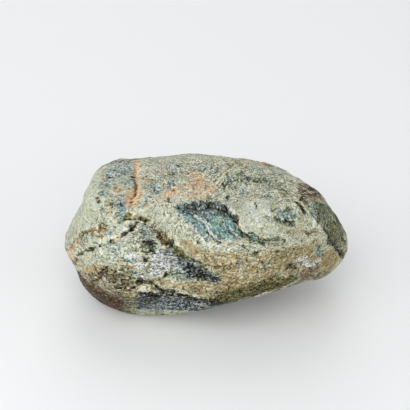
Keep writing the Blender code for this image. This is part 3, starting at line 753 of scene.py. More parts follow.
            (10, -48, 3, 2.4, 0, 0.8), (4, -54.5, 3, 1, 0, 0.8), (89, 40, 4, 1.8, -10, 0.95),
            (84, 37.5, 3, 1.6, 0, 0.8), (87, 33.5, 4.4, 1.6, -10, 0.8), (83, 31, 2.6, 1.8, 0, 0.8),
            (86, 28, 2.6, 1.8, -30, 0.8), (97, 35.5, 3, 1.6, -30, 0.7), (36.5, 49, 2.6, 2, -30, 0.9),
            (33, 53.5, 2.4, 1.2, -20, 0.8), (43, 46.5, 3, 1.2, -10, 0.9), (57, 46, 4, 1.2, -30, 0.45),
            (26, 53, 2, 1, 0, 0.6), (16, 42, 2, 1.2, -30, 0.8), (8, 45, 2, 1.4, 0, 0.7),
            (67.5, -5, 2.6, 1, 0, 1.0), (43, -14, 3, 1.4, -20, 0.7), (91, 3, 3.4, 1.2, 0, 0.5),
            (20, 33, 1.6, 3.4, 35, 0.8), (27.5, 30.5, 1.2, 1.2, 0, 0.7), (-30, 52, 3, 2, 0, 0.5),
            (-24, 60, 4, 1.6, -30, 0.6), (-62, 50, 2, 2, 0, 0.7), (-66, 41, 1.2, 1, 0, 0.6),
            (-82, 50, 2, 1, 0, 0.6), (-87, 41, 2, 0.8, 0, 0.6), (-76, 56, 2.4, 1.2, 0, 0.5),
            (-68, 52, 2.4, 1, 0, 0.6), (-105, -15.6, 2.6, 1.2, 10, 0.6), (-97, -10.8, 2, 1.2, 30, 0.9),
            (-93, -7, 1.4, 0.9, 0, 0.7), (-51, -22, 2, 2, 0, 0.9), (-83, -17.5, 1.2, 0.8, 0, 0.7),
            (73, -25, 2, 2.4, -40, 0.7), (28, -22, 1.4, 2, 0, 0.6), (97, -12, 2, 1.6, 0, 0.6),
            (99, -17, 2, 1.4, 0, 0.7), (48, -44, 8, 1.6, 14, 0.45), (34, -46, 6, 1.6, 10, 0.5),
            (64, -39, 6, 1.6, 14, 0.45), (-41, 1, 1.6, 3, 20, 0.6),
        ),
        "bands": (
            # painted shade: the shadow under the lens's top edge, and in the next band the rim's shadow on
            # its right wall
            (((-3, 27.4), (3, 27.4), (9, 27)), 0.9, 0.9),
            (((23, 16.8), (26, 16.6), (28, 12), (29.2, 9)), 0.8, 1.0),
            (((-68, 13.5), (-64, 14), (-60, 13.6)), 1.1, 0.6),
            (((-58, 14), (-54, 13.4), (-50, 12.8)), 1.2, 0.65), (((-46, 9), (-41, 2), (-37, -6)), 1.0, 0.7),
            (((-52, -12.5), (-47, -14.5), (-42, -17)), 1.1, 0.95),
            (((-54, -4.8), (-46, -5), (-40, -7)), 0.9, 0.95),
            # the next four bands are painted shade: the dark line under the body's overhanging lower edge,
            # above the lip
            (((-45, -41.5), (-40, -44.5), (-34, -46.6), (-26, -47.4)), 1.2, 1.0),
            (((-54, -49.6), (-44, -49.4), (-34, -49.6), (-24, -50.8), (-10, -53.4), (2, -55)), 1.2, 1.0),
            (((4, -55.6), (16, -56.4), (28, -55)), 1.0, 0.9),
            (((30, -53), (42, -50), (54, -47.4)), 0.9, 0.8),
            (((79.5, 29), (82, 25), (84.5, 20.5)), 1.2, 0.95),
            (((-94, -40), (-90, -35), (-86, -29.5)), 0.8, 0.7), (((-91, -9.2), (-88, -6.4)), 0.6, 0.9),
            (((-104, 2.2), (-99, 4.2)), 0.6, 0.6), (((-92, 10.6), (-88, 12)), 0.7, 0.7),
            (((36, 0), (37.5, 3), (41, 3)), 0.8, 0.9), (((48, -4.6), (55, -5), (62, -5)), 0.8, 0.7),
            (((3, 4), (6, 0.5), (9, -2.4), (13, -6)), 0.7, 0.8), (((0.5, 15), (2, 11.5)), 0.6, 0.7),
            (((18, 8), (21, 4), (24, 1)), 0.6, 0.7),
            (((106, 26), (112, 18), (116, 8), (118, -4)), 1.2, 0.7), (((41.5, 25), (43, 21)), 0.8, 0.8),
            (((51, 17), (53, 13), (56, 10)), 0.7, 0.7), (((22, 45), (26, 40)), 0.7, 0.5),
            (((31, -8), (37, -12), (41, -16)), 0.8, 0.7), (((66, 13), (71, 11), (74, 8.5)), 0.6, 0.8),
            (((82, -26), (90, -28), (98, -28)), 0.8, 0.6),
        ),
    },
    "black": {
        "areas": (),
        "spots": (
            (-63.2, 6, 2.8, 1.7, 50, 1.0), (-70, -1.4, 2.4, 0.9, 35, 0.7), (-67.6, 2.2, 1.3, 1.1, 0, 0.9),
            (-79.5, -3.4, 1.2, 1.0, 0, 1.0), (-28.6, -9, 2, 1.4, 0, 0.8),
            (-53.6, -39.4, 2.6, 1.4, -20, 0.6), (111, -12, 3, 4, -40, 0.4),
        ),
        "bands": (
            # painted shade: the rim's shadow on the lens's right wall, then the shadow under the body's
            # lower edge, which goes on in the next band and the first band of the line after
            (((26.2, 15), (28, 11)), 0.5, 0.9), (((-42, -43.4), (-36, -46), (-28, -47.2)), 0.7, 0.85),
            (((-53, -49.8), (-44, -49.6), (-36, -50.4)), 0.8, 0.9),
            (((-30, -49.8), (-18, -51.6)), 0.6, 0.8), (((103, 0), (106, -6), (112, -13)), 0.8, 0.7),
        ),
    },
}

# Where the rind is darkened, partly by an olive stain and partly as painted shade on its lower and
# right-hand parts: outlines on the show face with the share.
STAIN_AND_SHADE_AREAS = (
    (((84, 44), (94, 34), (88, 22), (98, 4), (104, -8), (110, -30), (124, -20), (124, 20), (106, 40)), 0.5),
    (((60, -8), (110, -14), (114, -34), (80, -46), (30, -58), (-14, -58), (-20, -46), (10, -42),
      (40, -34)), 0.45),
    (((-14, -48), (12, -44), (44, -42), (80, -32), (98, -34), (90, -44), (40, -58), (0, -62)), 0.7),
    (((-108, -34), (-92, -38), (-78, -44), (-62, -46), (-58, -68), (-90, -70), (-116, -40)), 0.55),
    (((-84, -26), (-62, -28), (-48, -38), (-52, -48), (-78, -46)), 0.3),
    (((-64, -46), (-20, -47), (30, -56), (34, -66), (-30, -74), (-72, -68)), 0.15),
    (((-24, -12), (-14, -16), (14, -36), (14, -44), (-2, -40), (-18, -34), (-8, -26)), 0.6),
    (((60, 26), (88, 26), (86, 4), (70, -2), (58, 6)), 0.3),
)

# The same finishes on the back's drawing plane.
BACK_PATCHES = {
    "pale": {
        "areas": (
            (((-70, 30), (-40, 33), (-8, 27), (10, 31), (4, 17), (-24, 15), (-60, 15), (-78, 20)), 0.8),
            (((30, -2), (56, 4), (84, -2), (80, -20), (54, -24), (34, -14)), 0.7),
        ),
        "spots": ((-84, 26, 9, 7, 0, 0.6), (52, 36, 16, 6, -8, 0.7), (-58, -34, 16, 6, 5, 0.6)),
        "bands": (),
    },
    "white": {
        "areas": (),
        "spots": ((-20, 22, 12, 4, 6, 0.6), (58, -12, 10, 4, -12, 0.7), (-52, -6, 7, 3, 0, 0.5)),
        "bands": ((((-60, 14), (-40, 15), (-18, 19)), 1.0, 0.7),),
    },
    "teal": {
        "areas": (
            (((-46, 10), (-20, 13), (6, 11), (26, 4), (18, -8), (-6, -8), (-30, -3), (-44, 2)), 0.95),
        ),
        "spots": ((72, 24, 8, 12, 10, 0.7),),
        "bands": (),
    },
    "blue": {
        "areas": ((((40, 44), (66, 44), (84, 26), (72, 14), (52, 22)), 0.75),),
        "spots": (
            (-78, -8, 12, 9, 0, 0.75), (-30, 40, 16, 5, -5, 0.7), (10, -16, 12, 5, 0, 0.5),
            (96, 2, 8, 14, 0, 0.6),
        ),
        "bands": (),
    },
    "green": {
        "areas": ((((20, 4), (44, 8), (60, 0), (50, -10), (30, -8)), 0.7),),
        "spots": ((-60, -2, 10, 5, 10, 0.6), (84, 16, 6, 8, 0, 0.6), (-12, -22, 12, 3, 0, 0.5)),
        "bands": (),
    },
    "ochre": {
        "areas": (
            (((-96, -10), (-60, -18), (-30, -12), (0, -12), (30, -22), (62, -26), (58, -40), (10, -44),
              (-60, -44)), 0.8),
        ),
        "spots": ((18, 38, 14, 6, 0, 0.6), (-100, 14, 8, 9, 0, 0.6)),
        "bands": ((((20, 12), (40, 15), (62, 10)), 2.4, 0.7),),
    },
    "rust": {
        "areas": (),
        "spots": (
            (-10, 33, 7, 3.5, 15, 0.8), (46, 27, 5, 3, 0, 0.7), (-66, 24, 4, 3, 0, 0.6),
            (88, -14, 6, 5, 0, 0.6),
        ),
        "bands": ((((-43, 32), (-37, 18), (-40, 4)), 1.6, 0.8),),
    },
    "moss": {
        "areas": (),
        "spots": ((-34, -14, 7, 3, 0, 0.7), (40, -28, 14, 4, 5, 0.7), (-70, 8, 8, 3, 10, 0.5)),
        "bands": ((((28, 8), (42, -2), (58, -5)), 1.8, 0.7),),
    },
    "brown": {
        "areas": ((((66, -20), (96, -16), (98, -34), (70, -38)), 0.85),),
        "spots": ((-90, -24, 10, 7, 0, 0.7), (-6, -36, 16, 4, 0, 0.5)),
        "bands": (),
    },
    "charcoal": {
        "areas": ((((-52, -28), (-10, -25), (36, -30), (66, -30), (52, -40), (0, -38), (-44, -38)), 0.8),),
        "spots": ((-8, 6, 22, 4, 3, 0.6),),
        "bands": (),
    },
    "dark": {
        "areas": (),
        "spots": ((-37, 8, 4, 3, 0, 0.8), (48, -4, 4, 2, 0, 0.7)),
        "bands": (
            (((-66, 11), (-38, 12), (-12, 16), (14, 13), (36, 16)), 1.8, 0.9),
            (((-28, -24), (0, -25), (26, -30), (50, -27)), 1.7, 0.9),
            (((76, 32), (73, 18), (79, 2)), 1.4, 0.8),
        ),
    },
    "black": {
        "areas": (),
        "spots": ((-37, 9, 2, 1.6, 0, 0.9), (60, 26, 2, 1.4, 0, 0.8)),
        "bands": (
            (((-38, 13), (-12, 17), (10, 14)), 0.8, 0.9), (((-20, -24), (4, -25), (26, -30)), 0.8, 0.9),
        ),
    },
}

# Where no shape is drawn, waves of the finish come and go by themselves: wave length, the share
# of the surface that they cover and their strength.
UNDRAWN = {
    "pale": (46, 0.34, 0.8),
    "white": (26, 0.12, 0.7),
    "teal": (44, 0.16, 0.9),
    "blue": (30, 0.26, 0.8),
    "green": (34, 0.14, 0.8),
    "ochre": (52, 0.34, 0.85),
    "rust": (22, 0.10, 0.8),
    "moss": (26, 0.12, 0.7),
    "brown": (34, 0.14, 0.8),
    "charcoal": (40, 0.12, 0.9),
    "dark": (18, 0.08, 0.8),
    "black": (12, 0.02, 0.8),
}

# How thickly the dark grains lie: outlines on the show face with the share.
GRAIN_AREAS = (
    (((-90, 62), (0, 70), (60, 62), (110, 30), (84, 28), (30, 31), (-30, 33), (-62, 40), (-88, 44)), 0.62),
    (((-60, 12), (-45, 10), (-38, -4), (-24, -14), (-8, -28), (-20, -36), (-60, -36), (-74, -20)), 0.75),
    (((-28, 26), (20, 25), (30, 4), (4, -4), (-18, 10)), 0.5),
    (((84, 30), (100, 28), (120, 0), (114, -14), (98, 2)), 0.8),
    (((-40, 8), (60, -6), (104, -8), (104, -28), (40, -50), (-20, -48)), 0.55),
    (((-66, -50), (30, -56), (0, -64), (-60, -68)), 0.5),
    (((-110, -30), (-80, -24), (-56, -36), (-60, -66), (-100, -50)), 0.6),
)

# Where the rind is worn smooth and its grains hardly show: outlines on the show face with the share.
CALM_AREAS = (
    (((-112, 4), (-106, 26), (-98, 48), (-88, 58), (-88, 44), (-90, 30), (-90, 18), (-94, 12),
      (-103, 4)), 0.85),
    (((-58, 26), (-40, 24), (-28, 14), (-30, 8), (-40, 12), (-50, 14), (-58, 16)), 0.45),
    (((-32, 6), (-18, -3), (-4, -9), (-1, -18), (-14, -19), (-28, -7)), 0.75),
    (((-84, 14), (-70, 14), (-70, 2), (-82, 2)), 0.4),
    (((-72, 44), (-60, 62), (-52, 60), (-50, 40), (-56, 24), (-68, 22)), 0.5),
    (((-36, 30), (-32, 38), (-20, 44), (-12, 53), (-2, 55), (3, 46), (10, 40), (6, 34), (-6, 31),
      (-20, 31)), 0.4),
    (((96, -14), (114, -14), (114, -30), (96, -32)), 0.4),
    (((28, 30), (58, 30), (62, 12), (66, 2), (44, 4), (32, 12)), 0.35),
    (((-26, 26), (18, 28), (28, 12), (28, -4), (4, -4), (-14, 10)), 0.3),
)

# widths over which the edges of the shapes fade
PATCH_SOFTNESS = 1.8 * MM
GRAIN_SOFTNESS = 4 * MM
STAIN_AND_SHADE_SOFTNESS = 5 * MM
# how thickly the dark grains lie where no area says so
PLAIN_GRAINS = 0.45
# wave length, height and first seed of the waves that make the edges of the shapes wander
EDGE_WANDER = ((13 * MM, 1.3 * MM, 201), (5 * MM, 0.5 * MM, 203))
# seeds of the waves where no shape is drawn, and how far on the seed of their half waves is
LOOSE_SEED = 301
HALF_WAVE_SEED = 30
GRAIN_SEED = 361
STAIN_SEED = 371
# directions across the layers, low and high on the stone, and the middle, in mm, of the eye that
# they curve round
LOW_LAYERS = (-0.13, -0.25, 0.95)
HIGH_LAYERS = (0.62, -0.2, 0.76)
LAYER_SEED = 391
EYE = (70, 14)
EYE_REACH = 32 * MM
EYE_STRENGTH = 0.65
EYE_SEED = 392


def outline_share(uv, corners, soft):
    """1 inside a closed outline and 0 outside it, with an edge that is soft over a width."""
    corners = np.array(corners, dtype=float) * MM
    inside = np.zeros(len(uv), dtype=bool)
    near = np.full(len(uv), np.inf)
    for a, b in zip(corners, np.roll(corners, -1, axis=0)):
        crosses = (a[1] > uv[:, 1]) != (b[1] > uv[:, 1])
        rise = b[1] - a[1] if b[1] != a[1] else 1e-12
        inside ^= crosses & (uv[:, 0] < a[0] + (b[0] - a[0]) * (uv[:, 1] - a[1]) / rise)
        run = b - a
        t = np.clip((uv - a) @ run / (run @ run), 0, 1)
        near = np.minimum(near, np.linalg.norm(uv - a - t[:, None] * run, axis=1))
    return ease(np.where(inside, near, -near) / (2 * soft) + 0.5)


def spot_share(uv, u, v, half_length, half_width, turn):
    """1 at the middle of an oval spot, falling off over its edge."""
    along, across = turned(uv, (u, v), (half_length, half_width), turn)
    return 1 - ease((np.hypot(along, across) - 0.45) / 0.9)


def band_share(uv, points, half_width):
    """1 along a line, falling off over its half width."""
    curve = smooth_line([(u, v, 1) for u, v in points])
    distance, held, _ = from_line(uv, curve, 3 * half_width * MM)
    return (1 - ease((np.abs(distance) / (half_width * MM) - 0.4) / 1.1)) * (held > 0)


def laid_on(uv, shapes):
    """How strongly a finish's shapes cover each point."""
    share = np.zeros(len(uv))
    for corners, strength in shapes["areas"]:
        share = np.maximum(share, strength * outline_share(uv, corners, PATCH_SOFTNESS))
    for *oval, strength in shapes["spots"]:
        share = np.maximum(share, strength * spot_share(uv, *oval))
    for points, half_width, strength in shapes["bands"]:
        share = np.maximum(share, strength * band_share(uv, points, half_width))
    return share


def loose_waves(points, name, seed):
    """Waves of a finish that come and go by themselves, where no shape is drawn."""
    wavelength, cover, strength = UNDRAWN[name]
    field = ripple(points, wavelength * MM, seed)
    field += 0.5 * ripple(points, 0.4 * wavelength * MM, seed + HALF_WAVE_SEED)
    return strength * ease((field - np.quantile(field, 1 - cover)) / 0.35 + 0.5)


def finish_shares(points, outward):
    """The share of every finish of the rind at every point, of its dark grains, and of its darkening, which
    is part olive stain and part painted shade.
    """
    show = Drawing(SHOW_FACE, points, outward)
    back = Drawing(BACK_FACE, points, outward)
    wander = np.zeros((len(points), 2))
    for wavelength, height, seed in EDGE_WANDER:
        waves = ripple(points, wavelength, seed), ripple(points, wavelength, seed + 1)
        wander += height * np.stack(waves, axis=1)
    show_uv, back_uv = show.uv + wander, back.uv + wander
    # the show face's shapes reach to just past its outline, the back's cover what faces their plane,
    # and loose waves have the rest and creep over the top
    seen = ease((show.square + 0.16) / 0.1)
    behind = ease((back.square - 0.1) / 0.3) * (1 - seen)
    over_top = (1 - ease((show.square - 0.02) / 0.2)) * ease((outward[:, 2] - 0.6) / 0.2)
    shares = {}
    for n, (name, shapes) in enumerate(SHOW_PATCHES.items()):
        loose = loose_waves(points, name, LOOSE_SEED + n)
        hidden = np.maximum(laid_on(back_uv, BACK_PATCHES[name]) * behind, loose * (1 - 0.4 * behind))
        in_front = np.maximum(laid_on(show_uv, shapes), 0.8 * loose * over_top)
        shares[name] = in_front * seen + hidden * (1 - seen)
    grains = np.full(len(points), PLAIN_GRAINS)
    for corners, share in GRAIN_AREAS:
        grains = np.maximum(grains, share * outline_share(show_uv, corners, GRAIN_SOFTNESS))
    for corners, share in CALM_AREAS:
        grains *= 1 - share * outline_share(show_uv, corners, GRAIN_SOFTNESS)
    loose_grains = 0.55 + 0.3 * ripple(points, 40 * MM, GRAIN_SEED)
    shares["grains"] = grains * seen + np.clip(loose_grains, 0, 1) * (1 - seen)
    stain_and_shade = np.zeros(len(points))
    for corners, share in STAIN_AND_SHADE_AREAS:
        stain_and_shade = np.maximum(stain_and_shade, share * outline_share(show_uv, corners, STAIN_AND_SHADE_SOFTNESS))
    # off the show face: painted shade on the faces that look down, and loose waves of stain
    shade_underneath = 0.6 * ease(0.2 - outward[:, 2])
    loose_stain = 0.3 * ease(ripple(points, 48 * MM, STAIN_SEED))
    shares["stain_and_shade"] = stain_and_shade * seen + np.maximum(shade_underneath, loose_stain) * (1 - seen)
    return shares


def layer_field(points, outward):
    """A height across the rock's layers: its level lines are the way that streaks run.
    Low on the stone the layers lie nearly flat, high on it they dip, and they curve round the eye."""
    low = points @ np.array(LOW_LAYERS)
    high = points @ np.array(HIGH_LAYERS)
    show = Drawing(SHOW_FACE, points, outward)
    in_view = ease((show.square + 0.1) / 0.4)
    upper = ease((show.uv[:, 1] + 14 * MM) / (22 * MM)) * ease((show.uv[:, 0] + 45 * MM) / (40 * MM))
    from_eye = np.linalg.norm((show.uv - np.array(EYE) * MM) * np.array([0.8, 1.1]), axis=1)
    from_eye += 2.4 * MM * ripple(points, 20 * MM, EYE_SEED)
    round_eye = EYE_STRENGTH * ease((EYE_REACH - from_eye) / (EYE_REACH / 2)) * in_view
    round_eye *= ease((show.uv[:, 1] + 1 * MM) / (8 * MM))
    field = low + upper * in_view * (high - low)
    return field + round_eye * (40 * MM - from_eye - field) + 1.2 * MM * ripple(points, 30 * MM, LAYER_SEED)


def hollows(places, faces, rounds):
    """How far each point lies below the mean of its neighbours, smoothed over some rounds."""
    edges = np.vstack([faces[:, [0, 1]], faces[:, [1, 2]], faces[:, [2, 3]], faces[:, [3, 0]]])
    start, end = edges.T
    count = np.bincount(start, minlength=len(places)).astype(float)
    mean = places.copy()
    for _ in range(rounds):
        total = np.stack([np.bincount(start, mean[end, k], len(places)) for k in range(3)], axis=1)
        mean = 0.5 * mean + 0.5 * total / count[:, None]
    return mean - places


# ---------------------------------------------------------------- building trees of nodes


class Nodes:
    """Shorthand for building a tree of nodes."""

    def __init__(self, tree):
        self.tree = tree

    def add(self, kind):
        return self.tree.nodes.new(kind)

    def put(self, socket, value):
        if isinstance(value, bpy.types.NodeSocket):
            self.tree.links.new(value, socket)
        else:
            socket.default_value = value

    def math(self, operation, *values):
        node = self.add("ShaderNodeMath")
        node.operation = operation
        for socket, value in zip(node.inputs, values):
            self.put(socket, value)
        return node.outputs[0]

    def range(self, value, low, high, low_to=0.0, high_to=1.0, kind="SMOOTHSTEP"):
        node = self.add("ShaderNodeMapRange")
        node.interpolation_type = kind
        self.put(node.inputs["Value"], value)
        self.put(node.inputs["From Min"], low)
        self.put(node.inputs["From Max"], high)
        self.put(node.inputs["To Min"], low_to)
        self.put(node.inputs["To Max"], high_to)
        return node.outputs["Result"]


# ---------------------------------------------------------------- the weathered skin

SKIN_SIZES = (
    ("Layer Spacing", 7.0 * MM),
    ("Layer Step", 0.7 * MM),
    ("Pit Spacing", 6.5 * MM),
    ("Pit Depth", 1.0 * MM),
    ("Grain Size", 2.4 * MM),
    ("Grain Height", 0.45 * MM),
    ("Foot Height", 6.0 * MM),
)
# size in metres, detail and place of the noise that bends the skin's layers and that lets them come
# and go
LAYER_BENDS = (20 * MM, 3, 1.3)
LAYER_PATCHES = (26 * MM, 2, 2.1)
GRAIN_DETAIL = 3
GRAIN_PLACE = 3.7


class SkinTree(Nodes):
    """A tree of geometry nodes with a named input for each of its sizes."""

    def __init__(self, name, sizes):
        super().__init__(bpy.data.node_groups.new(name, "GeometryNodeTree"))
        face = self.tree.interface
        face.new_socket("Geometry", in_out="INPUT", socket_type="NodeSocketGeometry")
        for size_name, value in sizes:
            socket = face.new_socket(size_name, in_out="INPUT", socket_type="NodeSocketFloat")
            socket.default_value = value
        face.new_socket("Rind", in_out="INPUT", socket_type="NodeSocketMaterial")
        face.new_socket("Geometry", in_out="OUTPUT", socket_type="NodeSocketGeometry")
        self.given = self.add("NodeGroupInput").outputs
        self.position = self.add("GeometryNodeInputPosition").outputs[0]

    def noise(self, size, detail, offset):
        place = self.add("ShaderNodeVectorMath")
        place.operation = "ADD"
        self.put(place.inputs[0], self.position)
        place.inputs[1].default_value = (offset, 0.7 * offset, -0.4 * offset)
        node = self.add("ShaderNodeTexNoise")
        self.put(node.inputs["Vector"], place.outputs[0])
        self.put(node.inputs["Detail"], detail)
        self.put(node.inputs["Scale"], self.math("DIVIDE", 1.0, size))
        return node.outputs[0]


def layer_steps(s):
    """Worn steps along the layers, which come and go over the skin."""
    layer = s.add("GeometryNodeInputNamedAttribute")
    layer.data_type = "FLOAT"
    layer.inputs["Name"].default_value = "layer"
    bent = s.math("MULTIPLY_ADD", s.noise(*LAYER_BENDS), 14 * MM, layer.outputs["Attribute"])
    tooth = s.math("FRACT", s.math("DIVIDE", bent, s.given["Layer Spacing"]))
    worn_tooth = s.math("SUBTRACT", tooth, s.range(tooth, 0.8, 1.0))
    patchy = s.range(s.noise(*LAYER_PATCHES), 0.46, 0.62)
    return s.math("MULTIPLY", s.math("MULTIPLY", worn_tooth, patchy), s.given["Layer Step"])


def small_pits(s):
    """Round pits of many sizes, in about a third of the cells that they are spread over."""
    cells = s.add("ShaderNodeTexVoronoi")
    s.put(cells.inputs["Vector"], s.position)
    s.put(cells.inputs["Scale"], s.math("DIVIDE", 1.0, s.given["Pit Spacing"]))
    own = s.add("FunctionNodeSeparateColor")
    s.put(own.inputs[0], cells.outputs["Color"])
    size = s.math("MULTIPLY_ADD", own.outputs[1], 0.26, 0.12)
    wall = s.range(cells.outputs["Distance"], s.math("MULTIPLY", size, 0.4), size)
    chosen = s.range(own.outputs[0], 0.62, 0.66)
    bowl = s.math("MULTIPLY", s.math("SUBTRACT", 1.0, wall), chosen)
    return s.math("MULTIPLY", bowl, s.given["Pit Depth"])


def raised_grains(s):
    """Low uneven grains."""
    grain = s.math("SUBTRACT", s.noise(s.given["Grain Size"], GRAIN_DETAIL, GRAIN_PLACE), 0.5)
    return s.math("MULTIPLY", s.math("MULTIPLY", grain, 2.0), s.given["Grain Height"])


def skin_tree():
    """Fine steps along the layers, small pits and grain, as a tree that works on any surface."""
    s = SkinTree("weathered skin", SKIN_SIZES)
    height = s.math("ADD", s.math("SUBTRACT", layer_steps(s), small_pits(s)), raised_grains(s))
    place = s.add("ShaderNodeSeparateXYZ")
    s.put(place.inputs[0], s.position)
    free = s.range(place.outputs[2], 0.2 * MM, s.given["Foot Height"])
    offset = s.add("ShaderNodeVectorMath")
    offset.operation = "SCALE"
    s.put(offset.inputs[0], s.add("GeometryNodeInputNormal").outputs[0])
    s.put(offset.inputs["Scale"], s.math("MULTIPLY", height, free))
    move = s.add("GeometryNodeSetPosition")
    s.put(move.inputs["Geometry"], s.given["Geometry"])
    s.put(move.inputs["Offset"], offset.outputs[0])
    real = s.add("GeometryNodeRealizeInstances")
    s.put(real.inputs[0], move.outputs[0])
    coat = s.add("GeometryNodeSetMaterial")
    s.put(coat.inputs["Geometry"], real.outputs[0])
    s.put(coat.inputs["Material"], s.given["Rind"])
    s.put(s.add("NodeGroupOutput").inputs[0], coat.outputs[0])
    return s.tree


def put_on_skin(stone, rind):
    """Runs the skin over the stone and keeps the result as a plain mesh."""
    tree = skin_tree()
    modifier = stone.modifiers.new("weathered skin", "NODES")
    modifier.node_group = tree
    for item in tree.interface.items_tree:
        if item.item_type == "SOCKET" and item.in_out == "INPUT" and item.name == "Rind":
            modifier[item.identifier] = rind
    graph = bpy.context.evaluated_depsgraph_get()
    worn = stone.evaluated_get(graph)
    mesh = bpy.data.meshes.new_from_object(worn, preserve_all_data_layers=True, depsgraph=graph)
    stone.modifiers.remove(modifier)
    stone.data = mesh
    mesh.name = stone.name


# ---------------------------------------------------------------- the rind's material


def tint(red, green, blue):
    """A colour as it looks, 0 to 255, as the scene-linear colour that a shader takes."""
    return tuple((c / 255) ** 2.2 for c in (red, green, blue)) + (1.0,)


# Each finish: its name, its deep, middle and light tones, what they are spread over, and how
# raggedly its edge breaks up.
FINISHES = (
    ("ochre", (100, 84, 48), (165, 149, 109), (198, 185, 150), "fibre", 2.8),
    ("pale", (140, 144, 124), (187, 192, 170), (212, 216, 199), "fibre", 2.4),
    ("blue", (66, 86, 90), (140, 159, 157), (206, 215, 210), "speck", 2.8),
    ("brown", (32, 14, 6), (86, 54, 34), (166, 134, 102), "speck", 3.0),
    ("rust", (158, 120, 86), (214, 179, 142), (240, 219, 190), "fibre", 2.8),
    ("green", (24, 36, 22), (76, 94, 68), (158, 168, 138), "speck", 3.0),
    ("moss", (38, 38, 14), (98, 93, 52), (172, 164, 118), "fibre", 2.4),
    ("teal", (28, 50, 52), (100, 132, 130), (192, 210, 203), "fibre", 2.4),
    ("charcoal", (9, 14, 16), (56, 70, 78), (184, 195, 200), "speck", 2.4),
    ("white", (118, 128, 137), (214, 218, 217), (242, 242, 239), "speck", 2.2),
    ("dark", (9, 11, 6), (32, 34, 22), (96, 94, 70), "speck", 2.8),
    ("black", (4, 4, 2), (13, 13, 8), (36, 34, 25), "speck", 2.0),
)
GROUND = ((122, 124, 104), (191, 192, 169), (226, 225, 207))
COOL_GROUND = tint(150, 160, 150)
WARM_DRIFT = tint(255, 244, 218)
COOL_DRIFT = tint(232, 247, 255)
# the olive colour of the stain, which also serves as painted shade on the lower and right-hand parts
STAIN_AND_SHADE = tint(170, 160, 128)
DIM = (0.19, 0.185, 0.15, 1.0)
BRIGHT = (1.7, 1.7, 1.65, 1.0)
CLEAN_WHITE = (0.86, 0.86, 0.82, 1.0)
# the colour that the hollows are multiplied by: painted shade
HOLLOW_SHADE = (0.13, 0.115, 0.07, 1.0)
PALE_GRAIN = tint(206, 208, 194)
PALE_GRAIN_SHARE = 0.18

# width and length in metres and place in the noise: of the streaks, the crystals, the grains and
# the ragged edge of every finish, all laid along the layers
THIN_STREAKS = (0.95 * MM, 5 * MM, 0.0)
WIDE_STREAKS = (3.6 * MM, 18 * MM, 5.0)
CRYSTALS = (0.85 * MM, 1.7 * MM, 11.0)
GRAINS = (0.95 * MM, 1.9 * MM, 17.0)
RAGGED = (1.8 * MM, 4.2 * MM, 23.0)
# width and length in metres, place and strength of each set of crystal bundles
BUNDLES = ((1.2 * MM, 3.4 * MM, 2.0, 0.42), (3.0 * MM, 8.0 * MM, 7.0, 0.22))
# size in metres, place in the noise and strength of each set of veins
VEINS = ((11 * MM, 0.3, 0.7), (6 * MM, 0.9, 0.6))
FLECK = 1.15 * MM
PALE_FLECK = 1.1 * MM
FLECK_GATHERING = 8 * MM
DRIFT = 4.5 * MM
BUMP_STRENGTH = 0.6
BUMP_HEIGHT = 0.45 * MM


